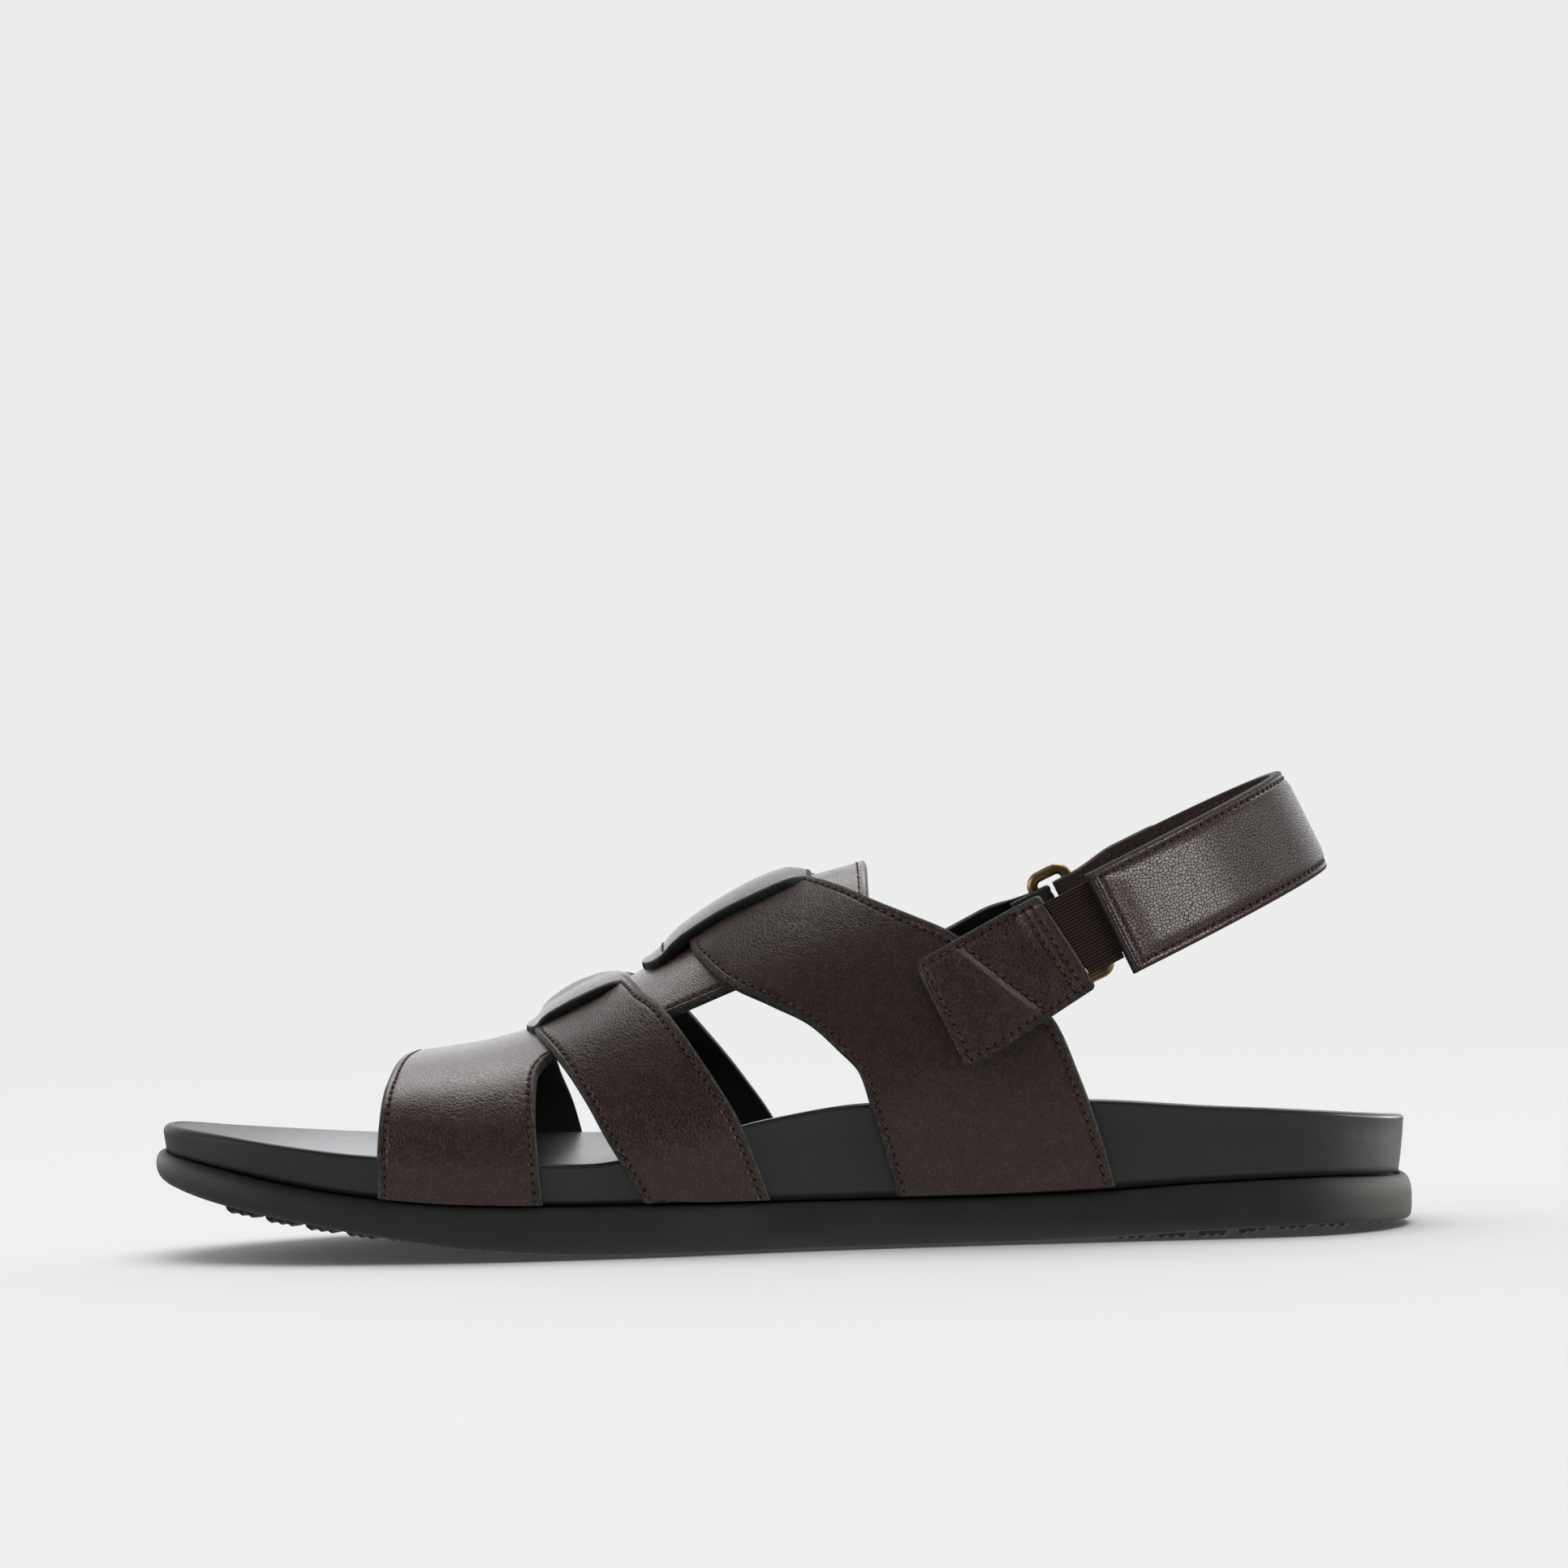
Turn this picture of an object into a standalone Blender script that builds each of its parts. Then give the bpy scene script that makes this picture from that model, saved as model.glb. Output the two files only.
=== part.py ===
# A man's right sandal, standing empty on its sole: ribbed rubber outsole, contoured footbed, woven leather
# upper, and a heel strap held by elastic on the inner side and by a brass ring on the outer side.
# Metres, +Z up. The toe points to -X and the inner (medial) side faces -Y.

import math
from collections import namedtuple
from functools import lru_cache

import bmesh
import bpy
import numpy as np
from mathutils import Vector

GAP = 0.0003                # left between pieces that touch

HALF_LENGTH = 0.145         # of the outsole
TOE_CAP = 0.060             # length over which the toe rounds off
TOE_POWER = 2.3
HEEL_CAP = 0.038
HEEL_POWER = 2.1

# Cross-sections of the sole, toe to heel. centre and half give the outline in plan; the heights above the
# floor are the outsole's underside, the bottom of its lugs, its top edge, and the footbed's inner and outer
# rim; dish is how far the footbed sinks between its rims.
SoleRow = namedtuple("SoleRow", "x centre half under tread seam rim_in rim_out dish")
SOLE = (
    SoleRow(-0.145, -0.0109, 0.0390, 0.0195, 0.0180, 0.0275, 0.0316, 0.0314, 0.0003),
    SoleRow(-0.130, -0.0091, 0.0400, 0.0147, 0.0132, 0.0233, 0.0298, 0.0284, 0.0012),
    SoleRow(-0.115, -0.0069, 0.0420, 0.0109, 0.0094, 0.0195, 0.0274, 0.0263, 0.0015),
    SoleRow(-0.095, -0.0046, 0.0453, 0.0072, 0.0057, 0.0155, 0.0248, 0.0243, 0.0016),
    SoleRow(-0.070, -0.0023, 0.0496, 0.0040, 0.0018, 0.0129, 0.0230, 0.0230, 0.0017),
    SoleRow(-0.045, 0.0003, 0.0512, 0.0020, 0.0000, 0.0121, 0.0215, 0.0222, 0.0018),
    SoleRow(-0.030, 0.0012, 0.0505, 0.0013, 0.0000, 0.0119, 0.0234, 0.0219, 0.0022),
    SoleRow(-0.005, 0.0022, 0.0468, 0.0010, 0.0000, 0.0114, 0.0299, 0.0231, 0.0032),
    SoleRow(0.020, 0.0012, 0.0428, 0.0009, 0.0000, 0.0112, 0.0330, 0.0252, 0.0045),
    SoleRow(0.045, -0.0003, 0.0398, 0.0009, 0.0000, 0.0111, 0.0331, 0.0272, 0.0060),
    SoleRow(0.070, -0.0018, 0.0380, 0.0012, 0.0000, 0.0116, 0.0324, 0.0281, 0.0076),
    SoleRow(0.095, -0.0026, 0.0370, 0.0019, 0.0000, 0.0128, 0.0302, 0.0269, 0.0082),
    SoleRow(0.120, -0.0028, 0.0365, 0.0026, 0.0012, 0.0133, 0.0280, 0.0252, 0.0078),
    SoleRow(0.145, -0.0028, 0.0365, 0.0015, 0.0012, 0.0117, 0.0250, 0.0249, 0.0004),
)
SOLE_AROUND = 76            # points round the outline

# Rings of the outsole from the middle of its underside, round its side, to the middle of its top.
# reach 1 is at the outline less inset and reach 0 on the middle line; rise is the share of the height.
OutsoleRing = namedtuple("OutsoleRing", "reach inset rise")
OUTSOLE_RINGS = (
    OutsoleRing(0.0, 0.0046, 0.00),
    OutsoleRing(1.0, 0.0046, 0.00),
    OutsoleRing(1.0, 0.0016, 0.05),
    OutsoleRing(1.0, 0.0004, 0.20),
    OutsoleRing(1.0, 0.0000, 0.45),
    OutsoleRing(1.0, 0.0002, 0.72),
    OutsoleRing(1.0, 0.0009, 0.90),
    OutsoleRing(1.0, 0.0019, 0.98),
    OutsoleRing(1.0, 0.0027, 1.00),
    OutsoleRing(0.0, 0.0027, 1.00),
)
TOE_SOFT = 2.2              # the lower edge is this much rounder at the toe
HEEL_SOFT = 0.5             # and this much crisper at the heel

# Rings of the footbed. Wall rings stand on the outsole's top edge (level 0) and end at the rim (level 1),
# lowered by drop; deck rings run in from the rim and follow the dish.
FootbedRing = namedtuple("FootbedRing", "reach inset level drop")
WALL_FOOT = 0.0030          # inset of the footbed's wall where it meets the outsole
WALL_RIM = 0.0015           # and at its rim: the wall leans outwards
FOOTBED_RINGS = (
    FootbedRing(0.00, WALL_FOOT, 0.0, 0.0),
    FootbedRing(1.00, WALL_FOOT, 0.0, 0.0),
    FootbedRing(1.00, 0.0021, 0.5, 0.0),
    FootbedRing(1.00, WALL_RIM, 1.0, 0.0020),
    FootbedRing(1.00, 0.0018, 1.0, 0.0008),
    FootbedRing(1.00, 0.0026, 1.0, 0.0001),
    FootbedRing(1.00, 0.0038, 1.0, 0.0000),
    FootbedRing(0.88, 0.0038, 1.0, 0.0),
    FootbedRing(0.70, 0.0038, 1.0, 0.0),
    FootbedRing(0.45, 0.0038, 1.0, 0.0),
    FootbedRing(0.00, 0.0038, 1.0, 0.0),
)
DISH_POWER = 2.6

LUG_PITCH = 0.0092
LUG_LENGTH = 0.0056         # of a lug's flat foot, along the shoe
LUG_FLARE = 0.0011          # how much further each lug spreads at its root
LUG_ROOT = 0.0010           # how deep it is sunk in the outsole
LUG_EDGE = 0.0065           # from the outline to a lug's end
LUG_WAVE = 0.0024           # zigzag of a lug along the shoe
LUG_FLAT = 0.0004           # lugs that would stand off the floor by less than this are flat on it
LUG_SPANS = 8
LugField = namedtuple("LugField", "first count")
LUG_FIELDS = (LugField(-0.1255, 12), LugField(0.0745, 7))

# The foot form that the straps lie on: its ridge, and the power of the arch on each side of it.
# Behind the throat the ridge only sets the steepness of the sides.
FormRow = namedtuple("FormRow", "x ridge_y ridge_z power")
FORM = (
    FormRow(-0.105, -0.0105, 0.0410, 2.50),
    FormRow(-0.085, -0.0095, 0.0434, 2.50),
    FormRow(-0.070, -0.0085, 0.0453, 2.40),
    FormRow(-0.057, -0.0070, 0.0484, 2.30),
    FormRow(-0.044, -0.0060, 0.0545, 2.20),
    FormRow(-0.033, -0.0055, 0.0602, 2.15),
    FormRow(-0.021, -0.0045, 0.0677, 2.10),
    FormRow(-0.009, -0.0040, 0.0752, 2.05),
    FormRow(0.002, -0.0035, 0.0802, 2.00),
    FormRow(0.013, -0.0035, 0.0831, 2.00),
    FormRow(0.020, -0.0035, 0.0850, 2.00),
    FormRow(0.040, -0.0025, 0.1000, 2.10),
    FormRow(0.060, -0.0025, 0.1170, 2.10),
    FormRow(0.080, -0.0025, 0.1380, 2.20),
)
FORM_RIM_DROP = 0.0010      # the form's straight wall ends this far below the footbed's rim
FORM_CLEAR = 0.0006         # from the footbed's wall to the form
ARCH_STEPS = 48             # points on each side's arch

LEATHER = 0.0022            # wall of the upper
LAYER = 0.0016              # how far one layer lifts the next: they are pressed together a little
LIFT_EDGES = (0.02, 0.18)   # where a band's lift starts and ends, as shares of the girth beyond the spine
LIFT_RUN = 0.012            # and along the shoe, behind the spine's end

# A strap's front and rear edges at share v of the girth: -1 is the sole on the inner side, 0 the ridge,
# 1 the sole on the outer side.
EdgeRow = namedtuple("EdgeRow", "v front rear")
TOE_BAND = (
    EdgeRow(-1.00, -0.0916, -0.0548),
    EdgeRow(-0.85, -0.0915, -0.0555),
    EdgeRow(-0.70, -0.0907, -0.0560),
    EdgeRow(-0.55, -0.0895, -0.0556),
    EdgeRow(-0.47, -0.0885, -0.0534),
    EdgeRow(-0.44, -0.0882, -0.0495),
    EdgeRow(0.00, -0.0850, -0.0495),
    EdgeRow(0.42, -0.0842, -0.0495),
    EdgeRow(0.46, -0.0841, -0.0525),
    EdgeRow(0.54, -0.0840, -0.0542),
    EdgeRow(0.66, -0.0842, -0.0533),
    EdgeRow(0.80, -0.0848, -0.0503),
    EdgeRow(1.00, -0.0850, -0.0465),
)
MIDDLE_BAND = (
    EdgeRow(-1.00, -0.0320, -0.0037),
    EdgeRow(-0.87, -0.0372, -0.0076),
    EdgeRow(-0.78, -0.0408, -0.0106),
    EdgeRow(-0.69, -0.0439, -0.0146),
    EdgeRow(-0.60, -0.0471, -0.0189),
    EdgeRow(-0.50, -0.0504, -0.0236),
    EdgeRow(-0.40, -0.0531, -0.0278),
    EdgeRow(-0.30, -0.0550, -0.0316),
    EdgeRow(0.00, -0.0575, -0.0345),
    EdgeRow(0.30, -0.0550, -0.0314),
    EdgeRow(0.40, -0.0530, -0.0280),
    EdgeRow(0.50, -0.0500, -0.0239),
    EdgeRow(0.60, -0.0462, -0.0190),
    EdgeRow(0.74, -0.0395, -0.0106),
    EdgeRow(0.87, -0.0325, -0.0026),
    EdgeRow(1.00, -0.0262, 0.0030),
)
INSTEP_BAND = (
    EdgeRow(-1.00, 0.0251, 0.0746),
    EdgeRow(-0.90, 0.0229, 0.0713),
    EdgeRow(-0.78, 0.0196, 0.0664),
    EdgeRow(-0.69, 0.0171, 0.0623),
    EdgeRow(-0.63, 0.0125, 0.0576),
    EdgeRow(-0.56, 0.0062, 0.0510),
    EdgeRow(-0.50, -0.0021, 0.0455),
    EdgeRow(-0.43, -0.0103, 0.0392),
    EdgeRow(-0.37, -0.0142, 0.0333),
    EdgeRow(-0.30, -0.0169, 0.0268),
    EdgeRow(-0.23, -0.0187, 0.0200),
    EdgeRow(-0.15, -0.0194, 0.0126),
    EdgeRow(-0.08, -0.0196, 0.0082),
    EdgeRow(0.08, -0.0190, 0.0084),
    EdgeRow(0.15, -0.0182, 0.0118),
    EdgeRow(0.23, -0.0160, 0.0172),
    EdgeRow(0.30, -0.0128, 0.0224),
    EdgeRow(0.40, -0.0055, 0.0308),
    EdgeRow(0.49, 0.0032, 0.0405),
    EdgeRow(0.57, 0.0120, 0.0495),
    EdgeRow(0.66, 0.0195, 0.0576),
    EdgeRow(0.80, 0.0255, 0.0668),
    EdgeRow(1.00, 0.0310, 0.0755),
)

# The spine runs back from the toe band, under the instep band, and ends as a tongue in the throat.
SpineRow = namedtuple("SpineRow", "x inner outer")
SPINE = (
    SpineRow(-0.0600, -0.455, 0.435),
    SpineRow(-0.0500, -0.455, 0.435),
    SpineRow(-0.0230, -0.436, 0.415),
    SpineRow(-0.0060, -0.412, 0.395),
    SpineRow(0.0080, -0.365, 0.350),
    SpineRow(0.0205, -0.290, 0.270),
)
SPINE_SHRINK = 0.0002       # keeps the spine's faces just inside the toe band's, where they join

# The two keeper strips over the bands, front to rear: how far they lift off the form, and their share of
# the half width.
StripRow = namedtuple("StripRow", "x lift width")
STRIP_INNER = -0.0165       # edges of a keeper strip, as distances round the form from the ridge
STRIP_OUTER = 0.0150
FRONT_STRIP = (
    StripRow(-0.0610, 0.0002, 1.10),
    StripRow(-0.0580, 0.0010, 1.04),
    StripRow(-0.0555, 0.0023, 1.00),
    StripRow(-0.0510, 0.0032, 1.00),
    StripRow(-0.0440, 0.0035, 1.00),
    StripRow(-0.0395, 0.0031, 1.00),
    StripRow(-0.0355, 0.0016, 1.03),
    StripRow(-0.0320, 0.0002, 1.10),
)
REAR_STRIP = (
    StripRow(-0.0300, 0.0016, 0.35),
    StripRow(-0.0293, 0.0016, 0.60),
    StripRow(-0.0278, 0.0016, 0.78),
    StripRow(-0.0255, 0.0018, 0.84),
    StripRow(-0.0225, 0.0028, 0.84),
    StripRow(-0.0190, 0.0034, 0.84),
    StripRow(-0.0060, 0.0035, 0.84),
    StripRow(0.0050, 0.0035, 0.84),
    StripRow(0.0074, 0.0031, 0.84),
    StripRow(0.0084, 0.0016, 0.84),
    StripRow(0.0092, 0.0003, 0.84),
)

# The heel strap's own plane: along runs up and back from the strap's inner front end, across is its width.
STRAP_ORIGIN = Vector((0.0745, -0.0028, 0.0720))
STRAP_TILT = math.radians(25)
ALONG = Vector((math.cos(STRAP_TILT), 0, math.sin(STRAP_TILT)))
ACROSS = Vector((-math.sin(STRAP_TILT), 0, math.cos(STRAP_TILT)))
STRAP_HALF_WIDTH = 0.0125
STRAP_WALL = 0.0024
STRAP_SIDE = 0.0362         # from the middle plane to the middle of the strap's wall, at its sides
STRAP_STRAIGHT = 0.0185     # along, where the straight sides end and the heel curve begins
STRAP_BACK = 0.0515         # along, at the back of the heel
STRAP_STEPS = (0.0, 0.006, 0.012)    # points along its straight sides; it is full width from the last
HEEL_SEGMENTS = 20
TURN_SEGMENTS = 8
FOLD_END = 0.0300           # along, at the tip of the turned-back end
FOLD_TIP = 0.0090           # length over which that tip rounds off
FOLD_STEPS = (0.35, 0.6, 0.8, 0.93, 1.0)
FOLD_BLUNT = 0.12           # square of the tip's width at its very end, as a share of the full width
PAD_WALL = 0.00115          # each hook-and-loop pad
PAD_HALF_WIDTH = 0.0105
PAD_SPANS = 6
HOOK_PAD = (0.0085, 0.0255)  # start and end along the strap
LOOP_PAD = (0.0045, 0.0270)

RING_WIRE = 0.0013          # radius of the ring's wire
RING_CENTRE = -0.0056       # along
RING_HALF_LENGTH = 0.0043   # to the middle of the wire
RING_HALF_WIDTH = 0.0136
RING_CORNER = 0.0023
RING_CORNER_POINTS = 5
AT_RING_HALF_WIDTH = 0.0110  # of the leather that passes through the ring
RING_SIDE = STRAP_SIDE + RING_WIRE + GAP + STRAP_WALL / 2

TAB_WALL = 0.0022
TAB_REAR_OUT = 0.0026       # how much further out than the strap the inner tab's rear end lies
TAB_CLEAR = 0.0009          # under the middle of a tab, where the band below it curves up
TAB_FRONT = -0.0434         # along
TAB_REAR = -0.0100
TAB_LEAN = -0.10            # along, for each metre across: its ends lean towards the heel at the bottom
TAB_BEND = -0.0190          # along, where a tab leaves the band below it
TAB_HALF_WIDTH = (0.0135, 0.0123)    # at its front and rear
TAB_RISE = (-0.0017, 0.0010)         # of its middle line across the strap's plane, front and rear
OUTER_TAB_RETURN = -0.0165  # along, where the outer tab's end stops after its turn round the ring
OUTER_TAB_NARROWS = -0.024  # along, where the outer tab starts to narrow to fit the ring
OUTER_TAB_SPANS = 9

ELASTIC_WALL = 0.0012
ELASTIC_HALF_WIDTH = 0.0096
ELASTIC_RISE = 0.0014
ELASTIC_GAP = 0.0005        # at each end, where the tab and the strap start

MATERIALS = {
    "leather": ((0.040, 0.022, 0.017), 0.48, 0.0),
    "strap_leather": ((0.050, 0.034, 0.028), 0.40, 0.0),
    "footbed_wrap": ((0.035, 0.038, 0.042), 0.45, 0.0),
    "rubber": ((0.028, 0.030, 0.029), 0.60, 0.0),
    "elastic": ((0.030, 0.014, 0.009), 0.80, 0.0),
    "pad": ((0.022, 0.014, 0.014), 0.90, 0.0),
    "brass": ((0.42, 0.27, 0.11), 0.35, 1.0),
}


def read(table, column, x):
    """Value of a table's column at x, on a smooth curve through its rows that never overshoots them."""
    xs, ys, slopes = curve(table, column)
    x = min(max(x, xs[0]), xs[-1])
    i = min(int(np.searchsorted(xs, x, side="right")) - 1, len(xs) - 2)
    step = xs[i + 1] - xs[i]
    t = (x - xs[i]) / step
    return ((1 + 2 * t) * (1 - t) ** 2 * ys[i] + t * t * (3 - 2 * t) * ys[i + 1]
            + t * (1 - t) * step * ((1 - t) * slopes[i] - t * slopes[i + 1]))


@lru_cache(None)
def curve(table, column):
    xs = [row[0] for row in table]
    ys = [getattr(row, column) for row in table]
    chords = [(y1 - y0) / (x1 - x0) for x0, x1, y0, y1 in zip(xs, xs[1:], ys, ys[1:])]
    slopes = [chords[0]]
    for before, after in zip(chords, chords[1:]):
        same_way = before * after > 0
        slopes.append(2 * before * after / (before + after) if same_way else 0.0)
    slopes.append(chords[-1])
    return xs, ys, slopes


def ease(value, start, end):
    """0 at start, 1 at end, smooth between them."""
    t = min(max((value - start) / (end - start), 0.0), 1.0)
    return t * t * (3 - 2 * t)


def half_width(x):
    """Half the outsole's width, rounded off at the toe and the heel."""
    to_toe = HALF_LENGTH + x
    to_heel = HALF_LENGTH - x
    cap = 1.0
    if to_toe < TOE_CAP:
        cap = max(0.0, 1 - (1 - to_toe / TOE_CAP) ** TOE_POWER) ** (1 / TOE_POWER)
    elif to_heel < HEEL_CAP:
        cap = max(0.0, 1 - (1 - to_heel / HEEL_CAP) ** HEEL_POWER) ** (1 / HEEL_POWER)
    return read(SOLE, "half", x) * cap


def outline(turn, inset=0.0):
    """Point of the sole's outline: turn 0 is the toe, 0 to pi the outer side, pi to 2 pi the inner side."""
    def edge(angle):
        x = -HALF_LENGTH * math.cos(angle)
        side = 1 if math.sin(angle) >= 0 else -1
        return Vector((x, read(SOLE, "centre", x) + side * half_width(x)))

    nudge = 0.004
    ahead = edge(turn + nudge) - edge(turn - nudge)
    inward = Vector((ahead.y, -ahead.x)).normalized()
    return edge(turn) + inward * inset


def ring_point(ring, turn):
    """A ring's point in plan, and its side, -1 inner to 1 outer."""
    rim = outline(turn, ring.inset)
    middle_x = -(HALF_LENGTH - ring.inset) * math.cos(turn)
    middle = Vector((middle_x, read(SOLE, "centre", middle_x)))
    side = (rim.y - middle.y) / max(half_width(middle_x) - ring.inset, 1e-4)
    return middle.lerp(rim, ring.reach), min(max(side, -1.0), 1.0) * ring.reach


def outsole_point(ring, turn):
    if 0 < ring.rise < 0.4:
        x = -HALF_LENGTH * math.cos(turn)
        soft = 1 + (TOE_SOFT - 1) * ease(x, -0.100, -0.140) + (HEEL_SOFT - 1) * ease(x, 0.090, 0.130)
        ring = ring._replace(inset=ring.inset * soft)
    (x, y), _ = ring_point(ring, turn)
    under = read(SOLE, "under", x)
    return Vector((x, y, under + ring.rise * (read(SOLE, "seam", x) - under)))


def rim_height(x, side):
    """Height of the footbed's rim, side -1 inner to 1 outer."""
    inner = read(SOLE, "rim_in", x)
    outer = read(SOLE, "rim_out", x)
    return (inner + outer) / 2 + side * (outer - inner) / 2


def footbed_point(ring, turn):
    (x, y), side = ring_point(ring, turn)
    foot = read(SOLE, "seam", x) + GAP
    rim = rim_height(x, side) - ring.drop
    height = foot + ring.level * (rim - foot)
    if ring.level == 1.0:
        height -= read(SOLE, "dish", x) * (1 - ring.reach ** DISH_POWER)
    return Vector((x, y, height))


@lru_cache(None)
def form_side(x, side):
    """One side of the foot form's section at x, sole to ridge, as y and z lists with the distance along."""
    middle = read(SOLE, "centre", x)
    half = half_width(x)
    foot = Vector((middle + side * (half - WALL_FOOT + FORM_CLEAR), read(SOLE, "seam", x) + GAP))
    rim = Vector((middle + side * (half - WALL_RIM + FORM_CLEAR), rim_height(x, side) - FORM_RIM_DROP))
    ridge = Vector((read(FORM, "ridge_y", x), read(FORM, "ridge_z", x)))
    power = 2 / read(FORM, "power", x)
    points = [foot]
    for i in range(ARCH_STEPS + 1):
        angle = math.pi / 2 * i / ARCH_STEPS
        points.append(Vector((ridge.x + (rim.x - ridge.x) * math.cos(angle) ** power,
                              rim.y + (ridge.y - rim.y) * math.sin(angle) ** power)))
    lengths = np.cumsum([0.0] + [(b - a).length for a, b in zip(points, points[1:])])
    return [p.x for p in points], [p.y for p in points], lengths


def form_point(x, v):
    ys, zs, lengths = form_side(round(x, 6), -1 if v < 0 else 1)
    along = lengths[-1] * (1 - min(abs(v), 1.0))
    return Vector((x, np.interp(along, lengths, ys), np.interp(along, lengths, zs)))


def on_form(x, v, lift=0.0):
    """Point at share v of the girth, lifted off the foot form along its normal."""
    point = form_point(x, v)
    step, turn = 0.0010, 0.02
    along = form_point(x + step, v) - form_point(x - step, v)
    around = form_point(x, min(v + turn, 1)) - form_point(x, max(v - turn, -1))
    return point + around.cross(along).normalized() * -lift


def girth(x, v):
    """Length round the form from its ridge to the sole, on the side of v."""
    return form_side(round(x, 6), -1 if v < 0 else 1)[2][-1]


def beside_form(x, z, side, lift):
    """Distance from the strap's middle plane to lift off the form's side, at height z."""
    _, zs, lengths = form_side(round(x, 6), side)
    v = side * (1 - np.interp(z, zs, lengths) / lengths[-1])
    return abs(on_form(x, v, lift).y - STRAP_ORIGIN.y)


def grid_object(name, columns, rows, place, material, wall=0.0, weld=False, collection=None):
    """An open grid with each vertex put at place(u, w), u and w from 0 to 1; wall thickens it outwards."""
    bm = bmesh.new()
    bmesh.ops.create_grid(bm, x_segments=columns, y_segments=rows, size=0.5)
    for vert in bm.verts:
        vert.co = place(vert.co.x + 0.5, vert.co.y + 0.5)
    if weld:
        bmesh.ops.remove_doubles(bm, verts=bm.verts, dist=1e-6)
        bmesh.ops.recalc_face_normals(bm, faces=bm.faces)
    obj = mesh_object(name, bm, material, collection)
    if wall:
        solidify = obj.modifiers.new("Wall", "SOLIDIFY")
        solidify.thickness = wall
        solidify.offset = 1.0
    return obj


def mesh_object(name, bm, material, collection=None):
    mesh = bpy.data.meshes.new(name)
    bm.to_mesh(mesh)
    bm.free()
    mesh.materials.append(bpy.data.materials[material])
    obj = bpy.data.objects.new(name, mesh)
    (collection or bpy.data.collections["Sandal"]).objects.link(obj)
    return obj


def helper(obj):
    """Marks an object as one that only joins or cuts another."""
    obj.hide_render = True
    obj.display_type = "WIRE"
    return obj


def join(obj, other):
    union = obj.modifiers.new("Join " + other.name, "BOOLEAN")
    union.operation = "UNION"
    union.solver = "EXACT"
    union.object = other


def rings_object(name, rings, point, material):
    """A closed body lofted through rings that start and end on its middle line."""
    def place(u, w):
        return point(rings[round(w * (len(rings) - 1))], 2 * math.pi * u)

    return grid_object(name, SOLE_AROUND, len(rings) - 1, place, material, weld=True)


def build_lugs(helpers):
    """Transverse zigzag ribs, one closed body each, in one mesh that joins the outsole."""
    bm = bmesh.new()
    for field in LUG_FIELDS:
        for k in range(field.count):
            add_lug(bm, field.first + k * LUG_PITCH)
    bmesh.ops.recalc_face_normals(bm, faces=bm.faces)
    return helper(mesh_object("lugs", bm, "rubber", helpers))


def add_lug(bm, x):
    """One rib: its flat foot is a grid, extruded up to a longer root inside the outsole."""
    middle = read(SOLE, "centre", x)
    reach = half_width(x) - LUG_EDGE
    grid = bmesh.ops.create_grid(bm, x_segments=1, y_segments=LUG_SPANS, size=0.5)
    foot = grid["verts"]
    for vert in foot:
        front = vert.co.x < 0
        span = round((vert.co.y + 0.5) * LUG_SPANS)
        wave = LUG_WAVE if span % 2 else -LUG_WAVE
        vert.co.x = x + wave / 2 + (-0.5 if front else 0.5) * LUG_LENGTH
        vert.co.y = middle + reach * (2 * span / LUG_SPANS - 1)
    level = read(SOLE, "tread", x)
    for vert in foot:
        vert.co.z = level if level > LUG_FLAT else 0.0
    faces = list({face for vert in foot for face in vert.link_faces})
    raised = bmesh.ops.extrude_face_region(bm, geom=faces, use_keep_orig=True)
    for vert in (item for item in raised["geom"] if isinstance(item, bmesh.types.BMVert)):
        span = round((vert.co.y - middle + reach) / (2 * reach) * LUG_SPANS)
        wave = LUG_WAVE if span % 2 else -LUG_WAVE
        vert.co.x += math.copysign(LUG_FLARE, vert.co.x - x - wave / 2)
        vert.co.z = read(SOLE, "under", vert.co.x) + LUG_ROOT


def band_object(name, edges, columns, rows, lift, collection=None):
    """A strap laid across the form, between its front and rear edges."""
    def place(u, w):
        v = 2 * w - 1
        x = read(edges, "front", v) + u * (read(edges, "rear", v) - read(edges, "front", v))
        return on_form(x, v, lift(x, v))

    return grid_object(name, columns, rows, place, "leather", wall=LEATHER, collection=collection)


def over_spine(x, v):
    """Lift of a band: one layer where it crosses the spine, easing to none beyond its edges and its end."""
    edge = read(SPINE, "outer", x)
    beside = ease(abs(v), edge + LIFT_EDGES[0], edge + LIFT_EDGES[1])
    behind = ease(x, SPINE[-1].x, SPINE[-1].x + LIFT_RUN)
    return LAYER * (1 - beside) * (1 - behind)


def spine_object(helpers):
    def place(u, w):
        x = SPINE[0].x + u * (SPINE[-1].x - SPINE[0].x)
        inner = read(SPINE, "inner", x)
        v = inner + w * (read(SPINE, "outer", x) - inner)
        return on_form(x, v, SPINE_SHRINK)

    return grid_object("spine", 18, 10, place, "leather", wall=LEATHER - 2 * SPINE_SHRINK, collection=helpers)


def strip_object(name, table, helpers):
    """A keeper strip, with two grid columns between one row of its table and the next."""
    spans = len(table) - 1

    def place(u, w):
        row = min(int(u * spans), spans - 1)
        x = table[row].x + (u * spans - row) * (table[row + 1].x - table[row].x)
        reach = STRIP_INNER + w * (STRIP_OUTER - STRIP_INNER)
        v = reach * read(table, "width", x) / girth(x, reach)
        return on_form(x, v, read(table, "lift", x))

    return grid_object(name, 2 * spans, 4, place, "leather", wall=LEATHER, collection=helpers)


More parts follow.
